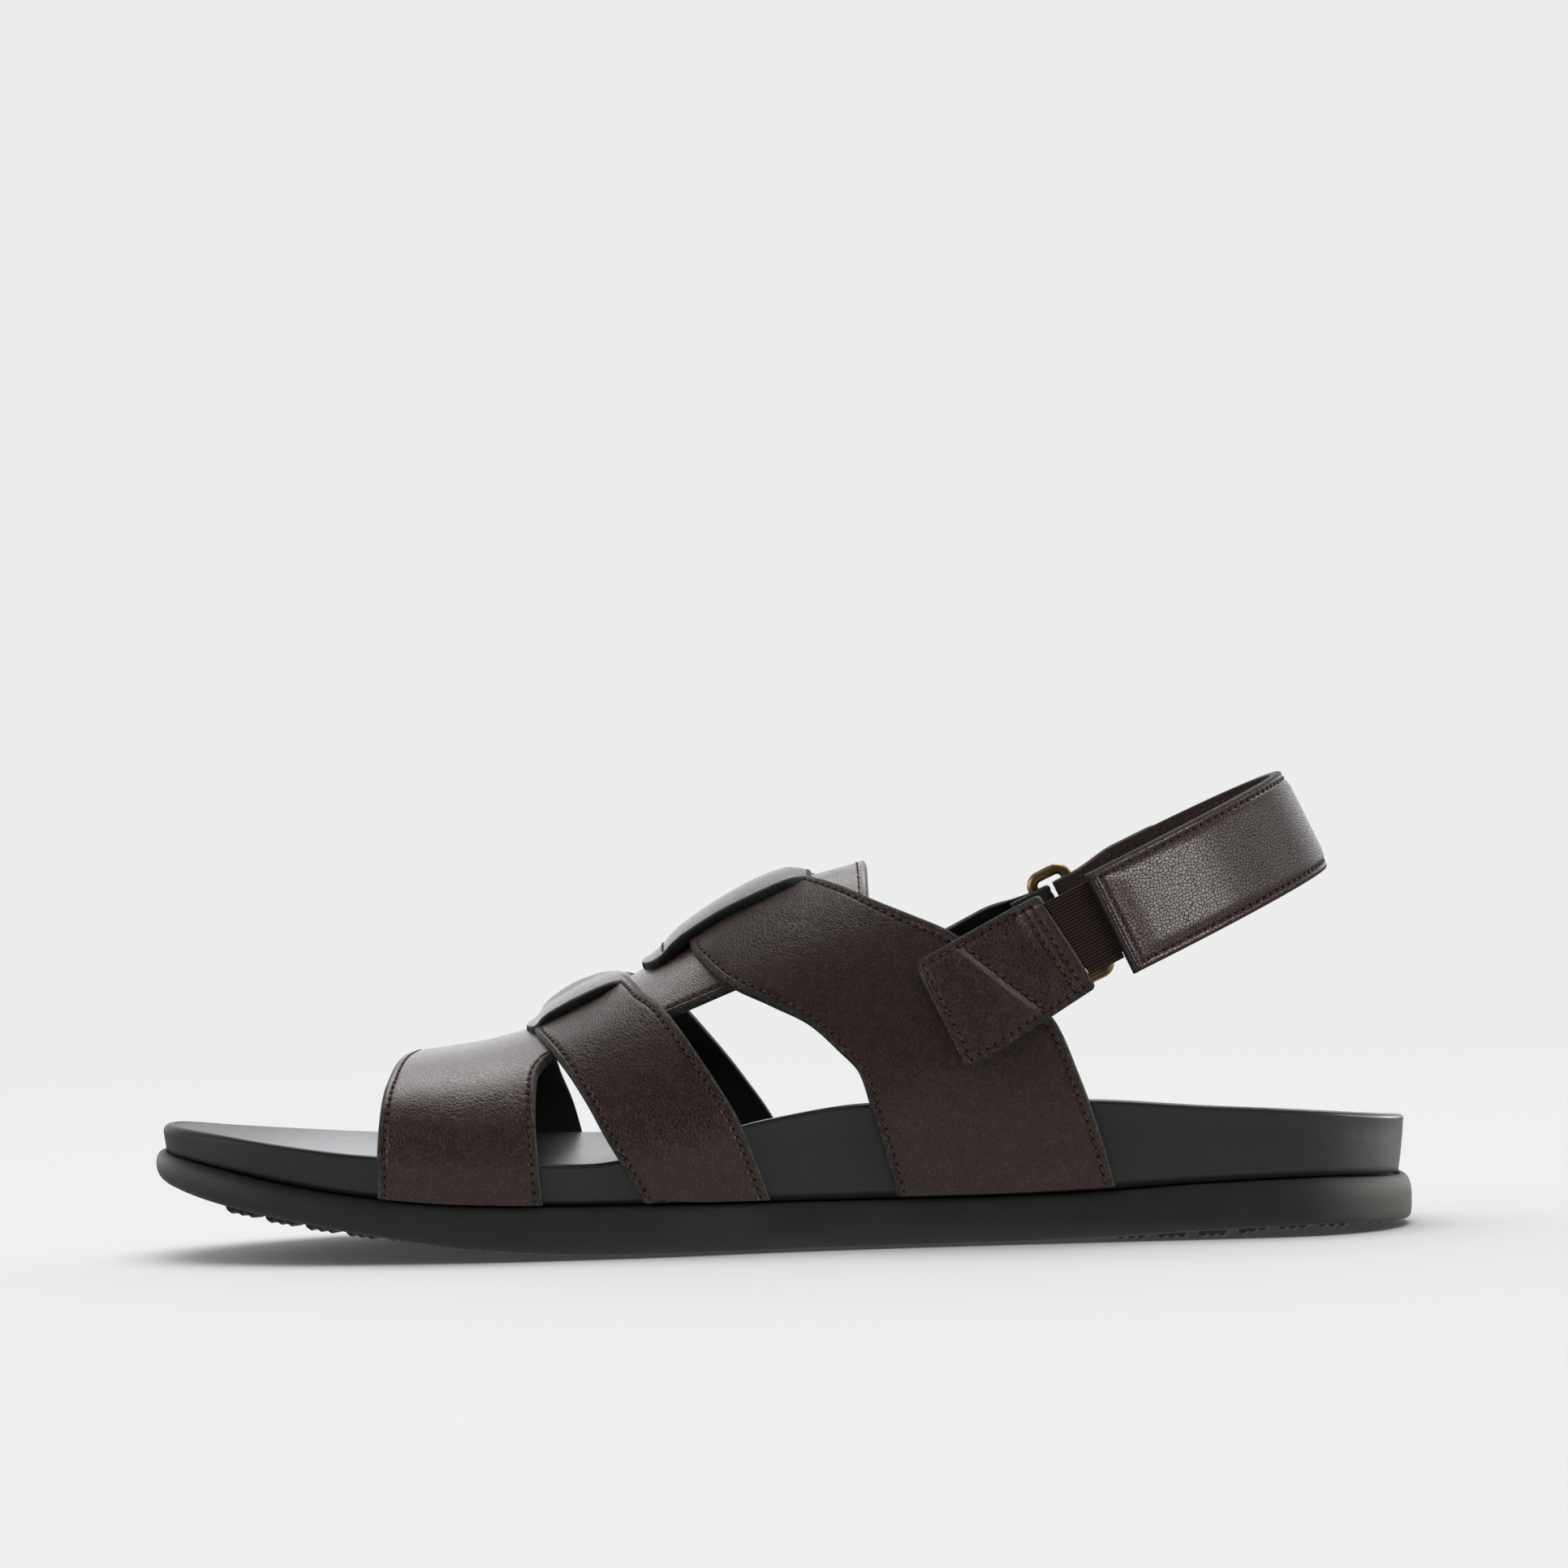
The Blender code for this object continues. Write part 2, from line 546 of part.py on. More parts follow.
def build_upper(helpers):
    upper = band_object("upper", TOE_BAND, 4, 30, lambda x, v: 0.0)
    layers = (
        band_object("middle_band", MIDDLE_BAND, 4, 30, over_spine, helpers),
        band_object("instep_band", INSTEP_BAND, 5, 34, over_spine, helpers),
        spine_object(helpers),
        strip_object("front_strip", FRONT_STRIP, helpers),
        strip_object("rear_strip", REAR_STRIP, helpers),
    )
    for layer in layers:
        join(upper, helper(layer))
    return upper


def strap_point(along, out, across):
    """Point in the heel strap's plane: out is measured from the middle plane, towards the outer side."""
    point = STRAP_ORIGIN + ALONG * along + ACROSS * across
    point.y += out
    return point


def heel_curve(lift):
    """The heel strap in plan, lift outside the middle of its wall: inner front end to outer side."""
    side = STRAP_SIDE + lift
    back = STRAP_BACK + lift - STRAP_STRAIGHT
    path = []
    for i in range(HEEL_SEGMENTS + 1):
        angle = math.pi * i / HEEL_SEGMENTS
        path.append((STRAP_STRAIGHT + back * math.sin(angle), -side * math.cos(angle)))
    return path


def turn_round(centre, heading):
    """Half turn round a bar of the ring; heading 1 passes in front of it, -1 behind it."""
    radius = RING_SIDE - STRAP_SIDE
    path = []
    for i in range(1, TURN_SEGMENTS):
        angle = math.pi * i / TURN_SEGMENTS
        path.append((centre - heading * radius * math.sin(angle), RING_SIDE - radius * math.cos(angle)))
    return path


def ribbon_object(name, path, span, material, wall):
    """A band of the given wall along a path of (along, out); span(along, i) gives its edges across."""
    def place(u, w):
        i = round(u * (len(path) - 1))
        along, out = path[i]
        low, high = span(along, i)
        return strap_point(along, out, low + w * (high - low))

    obj = grid_object(name, len(path) - 1, 2, place, material, wall=wall)
    obj.modifiers["Wall"].offset = 0.0
    return obj


def build_heel_strap():
    """From the elastic, round the heel, through the ring from inside and back on the outside."""
    rear_bar = RING_CENTRE + RING_HALF_LENGTH
    folded = 2 * (RING_SIDE - STRAP_SIDE)
    _, near_ring, full_width = STRAP_STEPS
    path = [(along, -STRAP_SIDE) for along in STRAP_STEPS] + heel_curve(0.0)
    path += [(along, STRAP_SIDE) for along in (full_width, near_ring, rear_bar)]
    path += turn_round(rear_bar, 1)
    outer = [(along, STRAP_SIDE + folded) for along in (rear_bar, near_ring, full_width, STRAP_STRAIGHT)]
    outer += [(along, out) for along, out in reversed(heel_curve(folded))
              if STRAP_STRAIGHT + 0.001 < along < FOLD_END - 0.001 and out > 0]
    first_outer = len(path)
    path += outer
    path += tip_points(path[-1], folded)

    def span(along, i):
        width = STRAP_HALF_WIDTH
        if i > HEEL_SEGMENTS:
            width += (1 - ease(along, 0.0, full_width)) * (AT_RING_HALF_WIDTH - STRAP_HALF_WIDTH)
        if i >= first_outer:
            over = max(along - (FOLD_END - FOLD_TIP), 0.0) / FOLD_TIP
            width *= math.sqrt(max(1 - over ** 2, FOLD_BLUNT))
        return -width, width

    return ribbon_object("heel_strap", path, span, "strap_leather", STRAP_WALL)


def tip_points(last, folded):
    """The last stretch of the turned-back end, on the curve that lies outside the strap."""
    side = STRAP_SIDE + folded
    back = STRAP_BACK + folded - STRAP_STRAIGHT
    points = []
    for share in FOLD_STEPS:
        along = last[0] + share * (FOLD_END - last[0])
        points.append((along, side * math.sqrt(1 - ((along - STRAP_STRAIGHT) / back) ** 2)))
    return points


def build_pad(name, reach, lift):
    """One half of the hook-and-loop fastening, between the strap and its turned-back end."""
    side = STRAP_SIDE + lift
    back = STRAP_BACK + lift - STRAP_STRAIGHT
    path = []
    for i in range(PAD_SPANS + 1):
        along = reach[0] + i / PAD_SPANS * (reach[1] - reach[0])
        beyond = max(along - STRAP_STRAIGHT, 0.0) / back
        path.append((along, side * math.sqrt(1 - beyond ** 2)))
    return ribbon_object(name, path, lambda along, i: (-PAD_HALF_WIDTH, PAD_HALF_WIDTH), "pad", PAD_WALL)


def build_ring():
    """A long loop of wire with rounded corners, standing across the strap's plane."""
    data = bpy.data.curves.new("ring", "CURVE")
    data.dimensions = "3D"
    data.bevel_depth = RING_WIRE
    data.bevel_resolution = 2
    spline = data.splines.new("POLY")
    corners = []
    for end, side in ((1, 1), (-1, 1), (-1, -1), (1, -1)):
        for i in range(RING_CORNER_POINTS):
            angle = math.pi / 2 * i / (RING_CORNER_POINTS - 1)
            if end * side < 0:
                angle = math.pi / 2 - angle
            along = end * (RING_HALF_LENGTH - RING_CORNER + RING_CORNER * math.cos(angle))
            across = side * (RING_HALF_WIDTH - RING_CORNER + RING_CORNER * math.sin(angle))
            corners.append(strap_point(RING_CENTRE + along, RING_SIDE, across))
    spline.points.add(len(corners) - 1)
    for point, corner in zip(spline.points, corners):
        point.co = (*corner, 1)
    spline.use_cyclic_u = True
    data.materials.append(bpy.data.materials["brass"])
    ring = bpy.data.objects.new("ring", data)
    bpy.data.collections["Sandal"].objects.link(ring)
    return ring


def tab_shape(along):
    """Middle and half width of a tab across the strap's plane."""
    share = (along - TAB_FRONT) / (TAB_REAR - TAB_FRONT)
    middle = TAB_RISE[0] + share * (TAB_RISE[1] - TAB_RISE[0])
    return middle, TAB_HALF_WIDTH[0] + share * (TAB_HALF_WIDTH[1] - TAB_HALF_WIDTH[0])


def tab_out(along, across, side, rear_out):
    """How far out a tab lies: on the instep band at its front, easing to rear_out at its rear end."""
    point = strap_point(along, 0, across)
    resting = beside_form(point.x, point.z, side, LEATHER + TAB_CLEAR + TAB_WALL / 2)
    share = ease(along, TAB_BEND, TAB_REAR)
    return side * (resting + share * (rear_out - resting))


def build_inner_tab():
    def place(u, w):
        along = TAB_FRONT + u * (TAB_REAR - TAB_FRONT)
        middle, half = tab_shape(along)
        across = middle + (2 * w - 1) * half
        along += TAB_LEAN * u * across
        return strap_point(along, tab_out(along, across, -1, STRAP_SIDE + TAB_REAR_OUT), across)

    tab = grid_object("tab_medial", 10, 6, place, "leather", wall=TAB_WALL)
    tab.modifiers["Wall"].offset = 0.0
    return tab


def build_outer_tab():
    """Lies on the instep band, passes outside the ring's front bar and turns back round it."""
    front_bar = RING_CENTRE - RING_HALF_LENGTH
    radius = RING_SIDE - STRAP_SIDE
    outside = RING_SIDE + radius
    resting = [TAB_FRONT + i / OUTER_TAB_SPANS * (front_bar - TAB_FRONT) for i in range(OUTER_TAB_SPANS + 1)]
    turn = [(front_bar + radius * math.sin(math.pi * i / TURN_SEGMENTS),
             RING_SIDE + radius * math.cos(math.pi * i / TURN_SEGMENTS)) for i in range(1, TURN_SEGMENTS)]
    back = [(front_bar + i / 3 * (OUTER_TAB_RETURN - front_bar), STRAP_SIDE) for i in range(4)]
    steps = [(along, None) for along in resting] + turn + back

    def place(u, w):
        along, out = steps[round(u * (len(steps) - 1))]
        middle, half = tab_shape(min(along, front_bar))
        narrow = ease(along, OUTER_TAB_NARROWS, front_bar)
        half += narrow * (AT_RING_HALF_WIDTH - half)
        middle -= narrow * middle
        across = middle + (2 * w - 1) * half
        if out is None:
            out = tab_out(along, across, 1, outside)
        return strap_point(along, out, across)

    tab = grid_object("tab_lateral", len(steps) - 1, 4, place, "leather", wall=TAB_WALL)
    tab.modifiers["Wall"].offset = 0.0
    return tab


def build_elastic():
    def place(u, w):
        across = ELASTIC_RISE + (2 * w - 1) * ELASTIC_HALF_WIDTH
        start = TAB_REAR + TAB_LEAN * across + ELASTIC_GAP
        along = start + u * (-ELASTIC_GAP - start)
        out = -(STRAP_SIDE + TAB_REAR_OUT * (1 - u))
        return strap_point(along, out, across)

    elastic = grid_object("elastic_gore", 3, 4, place, "elastic", wall=ELASTIC_WALL)
    elastic.modifiers["Wall"].offset = 0.0
    return elastic


def add_materials():
    for name, (colour, roughness, metallic) in MATERIALS.items():
        material = bpy.data.materials.new(name)
        material.use_nodes = True
        shader = material.node_tree.nodes["Principled BSDF"]
        shader.inputs["Base Color"].default_value = (*colour, 1)
        shader.inputs["Roughness"].default_value = roughness
        shader.inputs["Metallic"].default_value = metallic


def main():
    for obj in list(bpy.data.objects):
        bpy.data.objects.remove(obj)
    sandal = bpy.data.collections.new("Sandal")
    helpers = bpy.data.collections.new("Helpers")
    for collection in (sandal, helpers):
        bpy.context.scene.collection.children.link(collection)
    add_materials()

    outsole = rings_object("outsole", OUTSOLE_RINGS, outsole_point, "rubber")
    join(outsole, build_lugs(helpers))
    rings_object("footbed", FOOTBED_RINGS, footbed_point, "footbed_wrap")
    build_upper(helpers)
    build_inner_tab()
    build_elastic()
    build_heel_strap()
    build_pad("loop_pad", LOOP_PAD, STRAP_WALL / 2 + GAP + PAD_WALL / 2)
    build_pad("hook_pad", HOOK_PAD, STRAP_WALL / 2 + 2 * GAP + 1.5 * PAD_WALL)
    build_ring()
    build_outer_tab()
    for obj in sandal.objects:
        if obj.type == "MESH":
            obj.data.shade_smooth()
            obj.data.set_sharp_from_angle(angle=math.radians(35))


if __name__ == "__main__":
    main()
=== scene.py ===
# A man's right sandal: lugged rubber outsole, wrapped footbed, woven leather bands, and a padded heel strap
# that hangs on elastic at the inner side and on a brass ring at the outer side.
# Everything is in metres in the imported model's frame: toe to -X, inner side to -Y, +Z up.

import math
from contextlib import contextmanager

import bmesh
import bpy
import numpy as np
from mathutils import Matrix, Vector, kdtree


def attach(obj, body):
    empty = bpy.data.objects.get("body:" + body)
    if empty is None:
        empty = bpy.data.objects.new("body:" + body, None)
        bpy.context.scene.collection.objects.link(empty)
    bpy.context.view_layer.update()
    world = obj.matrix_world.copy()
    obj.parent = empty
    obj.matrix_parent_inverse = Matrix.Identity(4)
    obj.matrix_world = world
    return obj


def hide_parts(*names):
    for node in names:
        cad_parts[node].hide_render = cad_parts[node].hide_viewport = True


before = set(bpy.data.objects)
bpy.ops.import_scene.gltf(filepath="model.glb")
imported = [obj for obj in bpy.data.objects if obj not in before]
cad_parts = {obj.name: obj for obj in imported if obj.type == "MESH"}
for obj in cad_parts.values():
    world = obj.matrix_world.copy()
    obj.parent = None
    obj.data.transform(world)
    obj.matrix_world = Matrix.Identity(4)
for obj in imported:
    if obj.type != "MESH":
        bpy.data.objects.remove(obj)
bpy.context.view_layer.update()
mm = 0.001
rng = np.random.default_rng(7)

# ---- the last: sole outline and foot form, as in the part but for small changes to the rims, the tread and the toe

sole = {
    "at": (-0.145, -0.130, -0.115, -0.095, -0.070, -0.045, -0.030, -0.005, 0.020, 0.045, 0.070, 0.095, 0.120, 0.145),
    "centre": (-0.0109, -0.0091, -0.0069, -0.0046, -0.0023, 0.0003, 0.0012, 0.0022, 0.0012, -0.0003, -0.0018,
               -0.0026, -0.0028, -0.0028),
    "half": (0.0390, 0.0400, 0.0420, 0.0453, 0.0496, 0.0512, 0.0505, 0.0468, 0.0428, 0.0398, 0.0380, 0.0370,
             0.0365, 0.0365),
    "under": (0.0184, 0.0139, 0.0104, 0.0066, 0.0026, 0.0008, 0.0005, 0.0004, 0.0004, 0.0004, 0.0008, 0.0018,
              0.0026, 0.0015),
    "tread": (0.0170, 0.0125, 0.0090, 0.0055, 0.0016, 0.0, 0.0, 0.0, 0.0, 0.0, 0.0, 0.0, 0.0012, 0.0012),
    "seam": (0.0254, 0.0222, 0.0187, 0.0152, 0.0129, 0.0121, 0.0119, 0.0114, 0.0112, 0.0111, 0.0116, 0.0128,
             0.0133, 0.0117),
    "rimInner": (0.0316, 0.0298, 0.0274, 0.0248, 0.0230, 0.0215, 0.0234, 0.0299, 0.0330, 0.0331, 0.0324, 0.0304,
                 0.0286, 0.0256),
    "rimOuter": (0.0314, 0.0284, 0.0263, 0.0243, 0.0230, 0.0222, 0.0219, 0.0231, 0.0252, 0.0272, 0.0280, 0.0264,
                 0.0241, 0.0242),
    "dish": (0.0, 0.0004, 0.0010, 0.0015, 0.0017, 0.0018, 0.0022, 0.0032, 0.0045, 0.0060, 0.0076, 0.0082,
             0.0078, 0.0004),
    "halfLength": 0.145,
    "toeCap": (0.060, 2.3),     # length of the rounding, and its power
    "heelCap": (0.038, 2.1),
}
form = {
    "at": (-0.105, -0.085, -0.070, -0.057, -0.044, -0.033, -0.021, -0.009, 0.002, 0.013, 0.020, 0.040, 0.060, 0.080),
    "ridgeY": (-0.0105, -0.0095, -0.0085, -0.0070, -0.0060, -0.0055, -0.0045, -0.0040, -0.0035, -0.0035, -0.0035,
               -0.0025, -0.0025, -0.0025),
    "ridgeZ": (0.0410, 0.0434, 0.0453, 0.0484, 0.0545, 0.0602, 0.0677, 0.0752, 0.0802, 0.0831, 0.0850, 0.1000,
               0.1170, 0.1380),
    "power": (2.50, 2.50, 2.40, 2.30, 2.20, 2.15, 2.10, 2.05, 2.00, 2.00, 2.00, 2.10, 2.10, 2.20),
}
gap = 0.3 * mm
wallFoot, wallRim = 3.0 * mm, 1.5 * mm      # the footbed's wall, inset from the outline at its foot and rim
formClear, formRimDrop = 0.6 * mm, 1.0 * mm


def runOf(path):            # distance along a path, at each of its points
    return np.concatenate([[0], np.cumsum(np.linalg.norm(np.diff(path, axis=0), axis=1))])


def onPath(path, run, marks):       # the path's points at these distances along it
    return np.column_stack([np.interp(marks, run, column) for column in path.T])


# smooth curve through a table's column that never overshoots its rows
def valueAt(table, column, x):
    xs, ys = np.array(table["at"], float), np.array(table[column], float)
    steps = np.diff(xs)
    chords = np.diff(ys) / steps
    same = chords[:-1] * chords[1:] > 0
    total = np.where(same, chords[:-1] + chords[1:], 1.0)
    inner = np.where(same, 2 * chords[:-1] * chords[1:] / total, 0.0)
    slopes = np.concatenate(([chords[0]], inner, [chords[-1]]))
    x = np.clip(x, xs[0], xs[-1])
    i = np.clip(np.searchsorted(xs, x, side="right") - 1, 0, len(xs) - 2)
    t = (x - xs[i]) / steps[i]
    return ((1 + 2 * t) * (1 - t) ** 2 * ys[i] + t * t * (3 - 2 * t) * ys[i + 1]
            + t * (1 - t) * steps[i] * ((1 - t) * slopes[i] - t * slopes[i + 1]))


def ease(value, start, end):
    t = np.clip((value - start) / (end - start), 0.0, 1.0)
    return t * t * (3 - 2 * t)


def hump(value, centre, width):
    return np.exp(-((value - centre) / width) ** 2)


def bumps(value, table):    # humps added up: the height, centre and width of each
    return sum(height * hump(value, centre, width) for height, centre, width in table)


def roundedEnd(over, least):    # share of the thickness left where an end is rounded off, over being 1 at its very end
    return np.sqrt(np.clip(1 - np.clip(over, 0, 1) ** 2, least, 1))


def sheetSpot(start, stop, share, front, rear):    # place across a sheet, as a share of its width and off its edges
    return start + share * (stop - start) + front - rear


def unit(vectors):
    return vectors / np.maximum(np.linalg.norm(vectors, axis=-1, keepdims=True), 1e-12)


def halfWidth(x):
    (toeCap, toePower), (heelCap, heelPower) = sole["toeCap"], sole["heelCap"]
    atToe = np.clip(1 - (sole["halfLength"] + x) / toeCap, 0, 1)
    atHeel = np.clip(1 - (sole["halfLength"] - x) / heelCap, 0, 1)
    cap = (1 - atToe ** toePower) ** (1 / toePower) * (1 - atHeel ** heelPower) ** (1 / heelPower)
    return valueAt(sole, "half", x) * cap


# point of the sole's outline: turn 0 is the toe, 0 to pi the outer side, pi to 2 pi the inner side
def outline(turn, inset):
    def edge(angle):
        x = -sole["halfLength"] * np.cos(angle)
        side = np.where(np.sin(angle) >= 0, 1.0, -1.0)
        return np.stack([x, valueAt(sole, "centre", x) + side * halfWidth(x)], -1)

    ahead = unit(edge(turn + 0.004) - edge(turn - 0.004))
    return edge(turn) + np.stack([ahead[:, 1], -ahead[:, 0]], -1) * inset[:, None]


# a ring's points in plan, and their side from -1 inner to 1 outer
def ringPoint(turn, reach, inset):
    rim = outline(turn, inset)
    middleX = -(sole["halfLength"] - inset) * np.cos(turn)
    middle = np.stack([middleX, valueAt(sole, "centre", middleX)], -1)
    side = (rim[:, 1] - middle[:, 1]) / np.maximum(halfWidth(middleX) - inset, 1e-4)
    return middle + (rim - middle) * reach[:, None], np.clip(side, -1, 1) * reach


def rimHeight(x, side):
    inner, outer = valueAt(sole, "rimInner", x), valueAt(sole, "rimOuter", x)
    return (inner + outer) / 2 + side * (outer - inner) / 2


# the foot form as a fine grid over x and v, v being the share of the girth: -1 inner sole, 0 ridge, 1 outer sole
def formGrid():
    xs, vs = np.linspace(-0.109, 0.084, 387), np.linspace(-1, 1, 361)
    points, lengths = np.zeros((len(xs), len(vs), 3)), np.zeros((len(xs), 2))
    angle = np.linspace(0, math.pi / 2, 241)
    for i, x in enumerate(xs):
        middle, half = valueAt(sole, "centre", x), halfWidth(x)
        ridgeY, ridgeZ = valueAt(form, "ridgeY", x), valueAt(form, "ridgeZ", x)
        power = 2 / valueAt(form, "power", x)
        for part, side in enumerate((-1, 1)):
            foot = [middle + side * (half - wallFoot + formClear), valueAt(sole, "seam", x) + gap]
            rimY, rimZ = middle + side * (half - wallRim + formClear), rimHeight(x, side) - formRimDrop
            curve = np.column_stack([ridgeY + (rimY - ridgeY) * np.cos(angle) ** power,
                                     rimZ + (ridgeZ - rimZ) * np.sin(angle) ** power])
            curve = np.vstack([foot, curve])
            run = runOf(curve)
            here = vs <= 0 if side < 0 else vs >= 0
            points[i, here, 0] = x
            points[i, here, 1:] = onPath(curve, run, run[-1] * (1 - np.abs(vs[here])))
            lengths[i, part] = run[-1]
    return xs, vs, points, lengths


formX, formV, formPoints, formGirths = formGrid()


# cubic reading of the form's grid
def formPoint(x, v):
    def spread(value, knots):
        at = np.clip((value - knots[0]) / (knots[1] - knots[0]), 1.0, len(knots) - 2.001)
        first = np.floor(at).astype(int)
        t = at - first
        weights = (-0.5 * t + t * t - 0.5 * t ** 3, 1 - 2.5 * t * t + 1.5 * t ** 3,
                   0.5 * t + 2 * t * t - 1.5 * t ** 3, -0.5 * t * t + 0.5 * t ** 3)
        return first, weights

    i, across = spread(x, formX)
    j, around = spread(np.clip(v, -1, 1), formV)
    point = np.zeros((len(i), 3))
    for a in range(4):
        for b in range(4):
            rows = np.clip(i + a - 1, 0, len(formX) - 1)
            columns = np.clip(j + b - 1, 0, len(formV) - 1)
            point += (across[a] * around[b])[:, None] * formPoints[rows, columns]
    return point


def formNormal(x, v):
    step, turn = 1.0 * mm, 0.012
    along = formPoint(x + step, v) - formPoint(x - step, v)
    around = formPoint(x, np.clip(v + turn, -1, 1)) - formPoint(x, np.clip(v - turn, -1, 1))
    return unit(np.cross(along, around))


def onForm(x, v, lift):
    return formPoint(x, v) + formNormal(x, v) * lift[:, None]


def girth(x, v):
    return np.where(v < 0, np.interp(x, formX, formGirths[:, 0]), np.interp(x, formX, formGirths[:, 1]))


print("form:", formPoints.shape[0] * formPoints.shape[1], "points")


# ---- materials

class Wire:     # a node's output, so that shader maths reads as Python
    def __init__(self, shading, socket):
        self.shading, self.socket = shading, socket

    def math(self, operation, *values):
        return self.shading.node("ShaderNodeMath", dict(enumerate(values)), operation=operation)

    def __add__(self, other): return self.math("ADD", self, other)
    def __sub__(self, other): return self.math("SUBTRACT", self, other)
    def __rsub__(self, other): return self.math("SUBTRACT", other, self)
    def __mul__(self, other): return self.math("MULTIPLY", self, other)
    __radd__, __rmul__ = __add__, __mul__


class Shading:      # a tree of nodes, each made with its values and settings
    def __init__(self, tree):
        self.tree = tree

    def give(self, value, target):
        if isinstance(value, Wire):
            self.tree.links.new(value.socket, target)
        else:
            target.default_value = value

    def node(self, kind, values=None, out=0, **settings):
        node = self.tree.nodes.new(kind)
        for name, value in settings.items():
            setattr(node, name, value)
        for name, value in (values or {}).items():
            self.give(value, node.inputs[name])
        return Wire(self, node.outputs[out])

    def axis(self, vector, name):
        return self.node("ShaderNodeSeparateXYZ", {0: vector}, name)

    def between(self, value, low, high, toLow=0.0, toHigh=1.0):
        return self.node("ShaderNodeMapRange", {"Value": value, "From Min": low, "From Max": high, "To Min": toLow,
                                                "To Max": toHigh}, interpolation_type="SMOOTHSTEP")

    def toCamera(self, seen, lit):      # one shader for the camera, another for every other ray
        ray = self.node("ShaderNodeLightPath", out="Is Camera Ray")
        return self.node("ShaderNodeMixShader", {0: ray, 1: lit, 2: seen})


class Finish(Shading):      # one material, made of nodes round a single shader
    def __init__(self, name, **shader):
        self.material = bpy.data.materials.new(name)
        self.material.use_nodes = True
        super().__init__(self.material.node_tree)
        self.shader = self.tree.nodes["Principled BSDF"]
        self.place = self.node("ShaderNodeTexCoord", out="Object")
        self.set(**shader)

    def set(self, **sockets):
        for name, value in sockets.items():
            self.give(value, self.shader.inputs[name.replace("_", " ")])

    def wear(self, colour, roughness, height):      # height in millimetres
        bump = self.node("ShaderNodeBump", {"Height": height, "Distance": mm, "Strength": 1.0})
        self.set(Base_Color=colour, Roughness=roughness, Normal=bump)
        return self.material

    def weave(self):
        return self.node("ShaderNodeAttribute", out="Vector", attribute_name="weave")

    def noise(self, vector, scale, detail=3.0, roughness=0.55, out=0):
        return self.node("ShaderNodeTexNoise", {"Vector": vector, "Scale": scale, "Detail": detail,
                                                "Roughness": roughness}, out)

    def cells(self, vector, scale, feature="DISTANCE_TO_EDGE", flat=False):
        return self.node("ShaderNodeTexVoronoi", {"Vector": vector, "Scale": scale, "Randomness": 1.0},
                         feature=feature, voronoi_dimensions="2D" if flat else "3D")

    def stretch(self, vector, scale=(1, 1, 1), turn=(0, 0, 0)):
        return self.node("ShaderNodeMapping", {"Vector": vector, "Scale": scale, "Rotation": turn})

    def jitter(self, vector, scale, amount):    # shakes a pattern's coordinates
        shake = self.noise(vector, scale, 2.0, out=1)
        centred = self.node("ShaderNodeVectorMath", {0: shake, 1: (0.5,) * 3}, operation="SUBTRACT")
        return self.node("ShaderNodeVectorMath", {0: centred, 1: (amount,) * 3, 2: vector}, operation="MULTIPLY_ADD")

    def mix(self, factor, first, second):
        return self.node("ShaderNodeMix", {0: factor, 6: first, 7: second}, 2, data_type="RGBA")


def colour(red, green, blue):   # display values, 0 to 255
    def linear(c):
        c /= 255
        return c / 12.92 if c <= 0.04045 else ((c + 0.055) / 1.055) ** 2.4
    return linear(red), linear(green), linear(blue), 1.0


# the bands' line colour is paler than their base: a painted highlight for the light that the grain's groove walls and
# wrinkles catch
leatherLook = {
    "base": colour(47, 33, 28), "line": colour(92, 75, 67), "warm": colour(54, 38, 32), "lineShare": 0.50,
    "cell": 0.90, "dome": 0.012, "groove": 0.032, "width": 0.16, "fine": 0.50, "roughness": 0.30,
    "shine": 0.5, "coat": 0.0, "coatIor": 1.5, "flat": False, "lineWidth": (0.0, 0.115),
}
strapLook = {
    "base": colour(62, 46, 40), "line": colour(36, 26, 22), "warm": colour(68, 51, 44), "lineShare": 0.85,
    "cell": 0.84, "dome": 0.090, "groove": 0.115, "width": 0.22, "fine": 0.05, "roughness": 0.29,
    "shine": 0.12, "coat": 1.0, "coatIor": 1.8, "flat": True, "lineWidth": (0.03, 0.19),
}


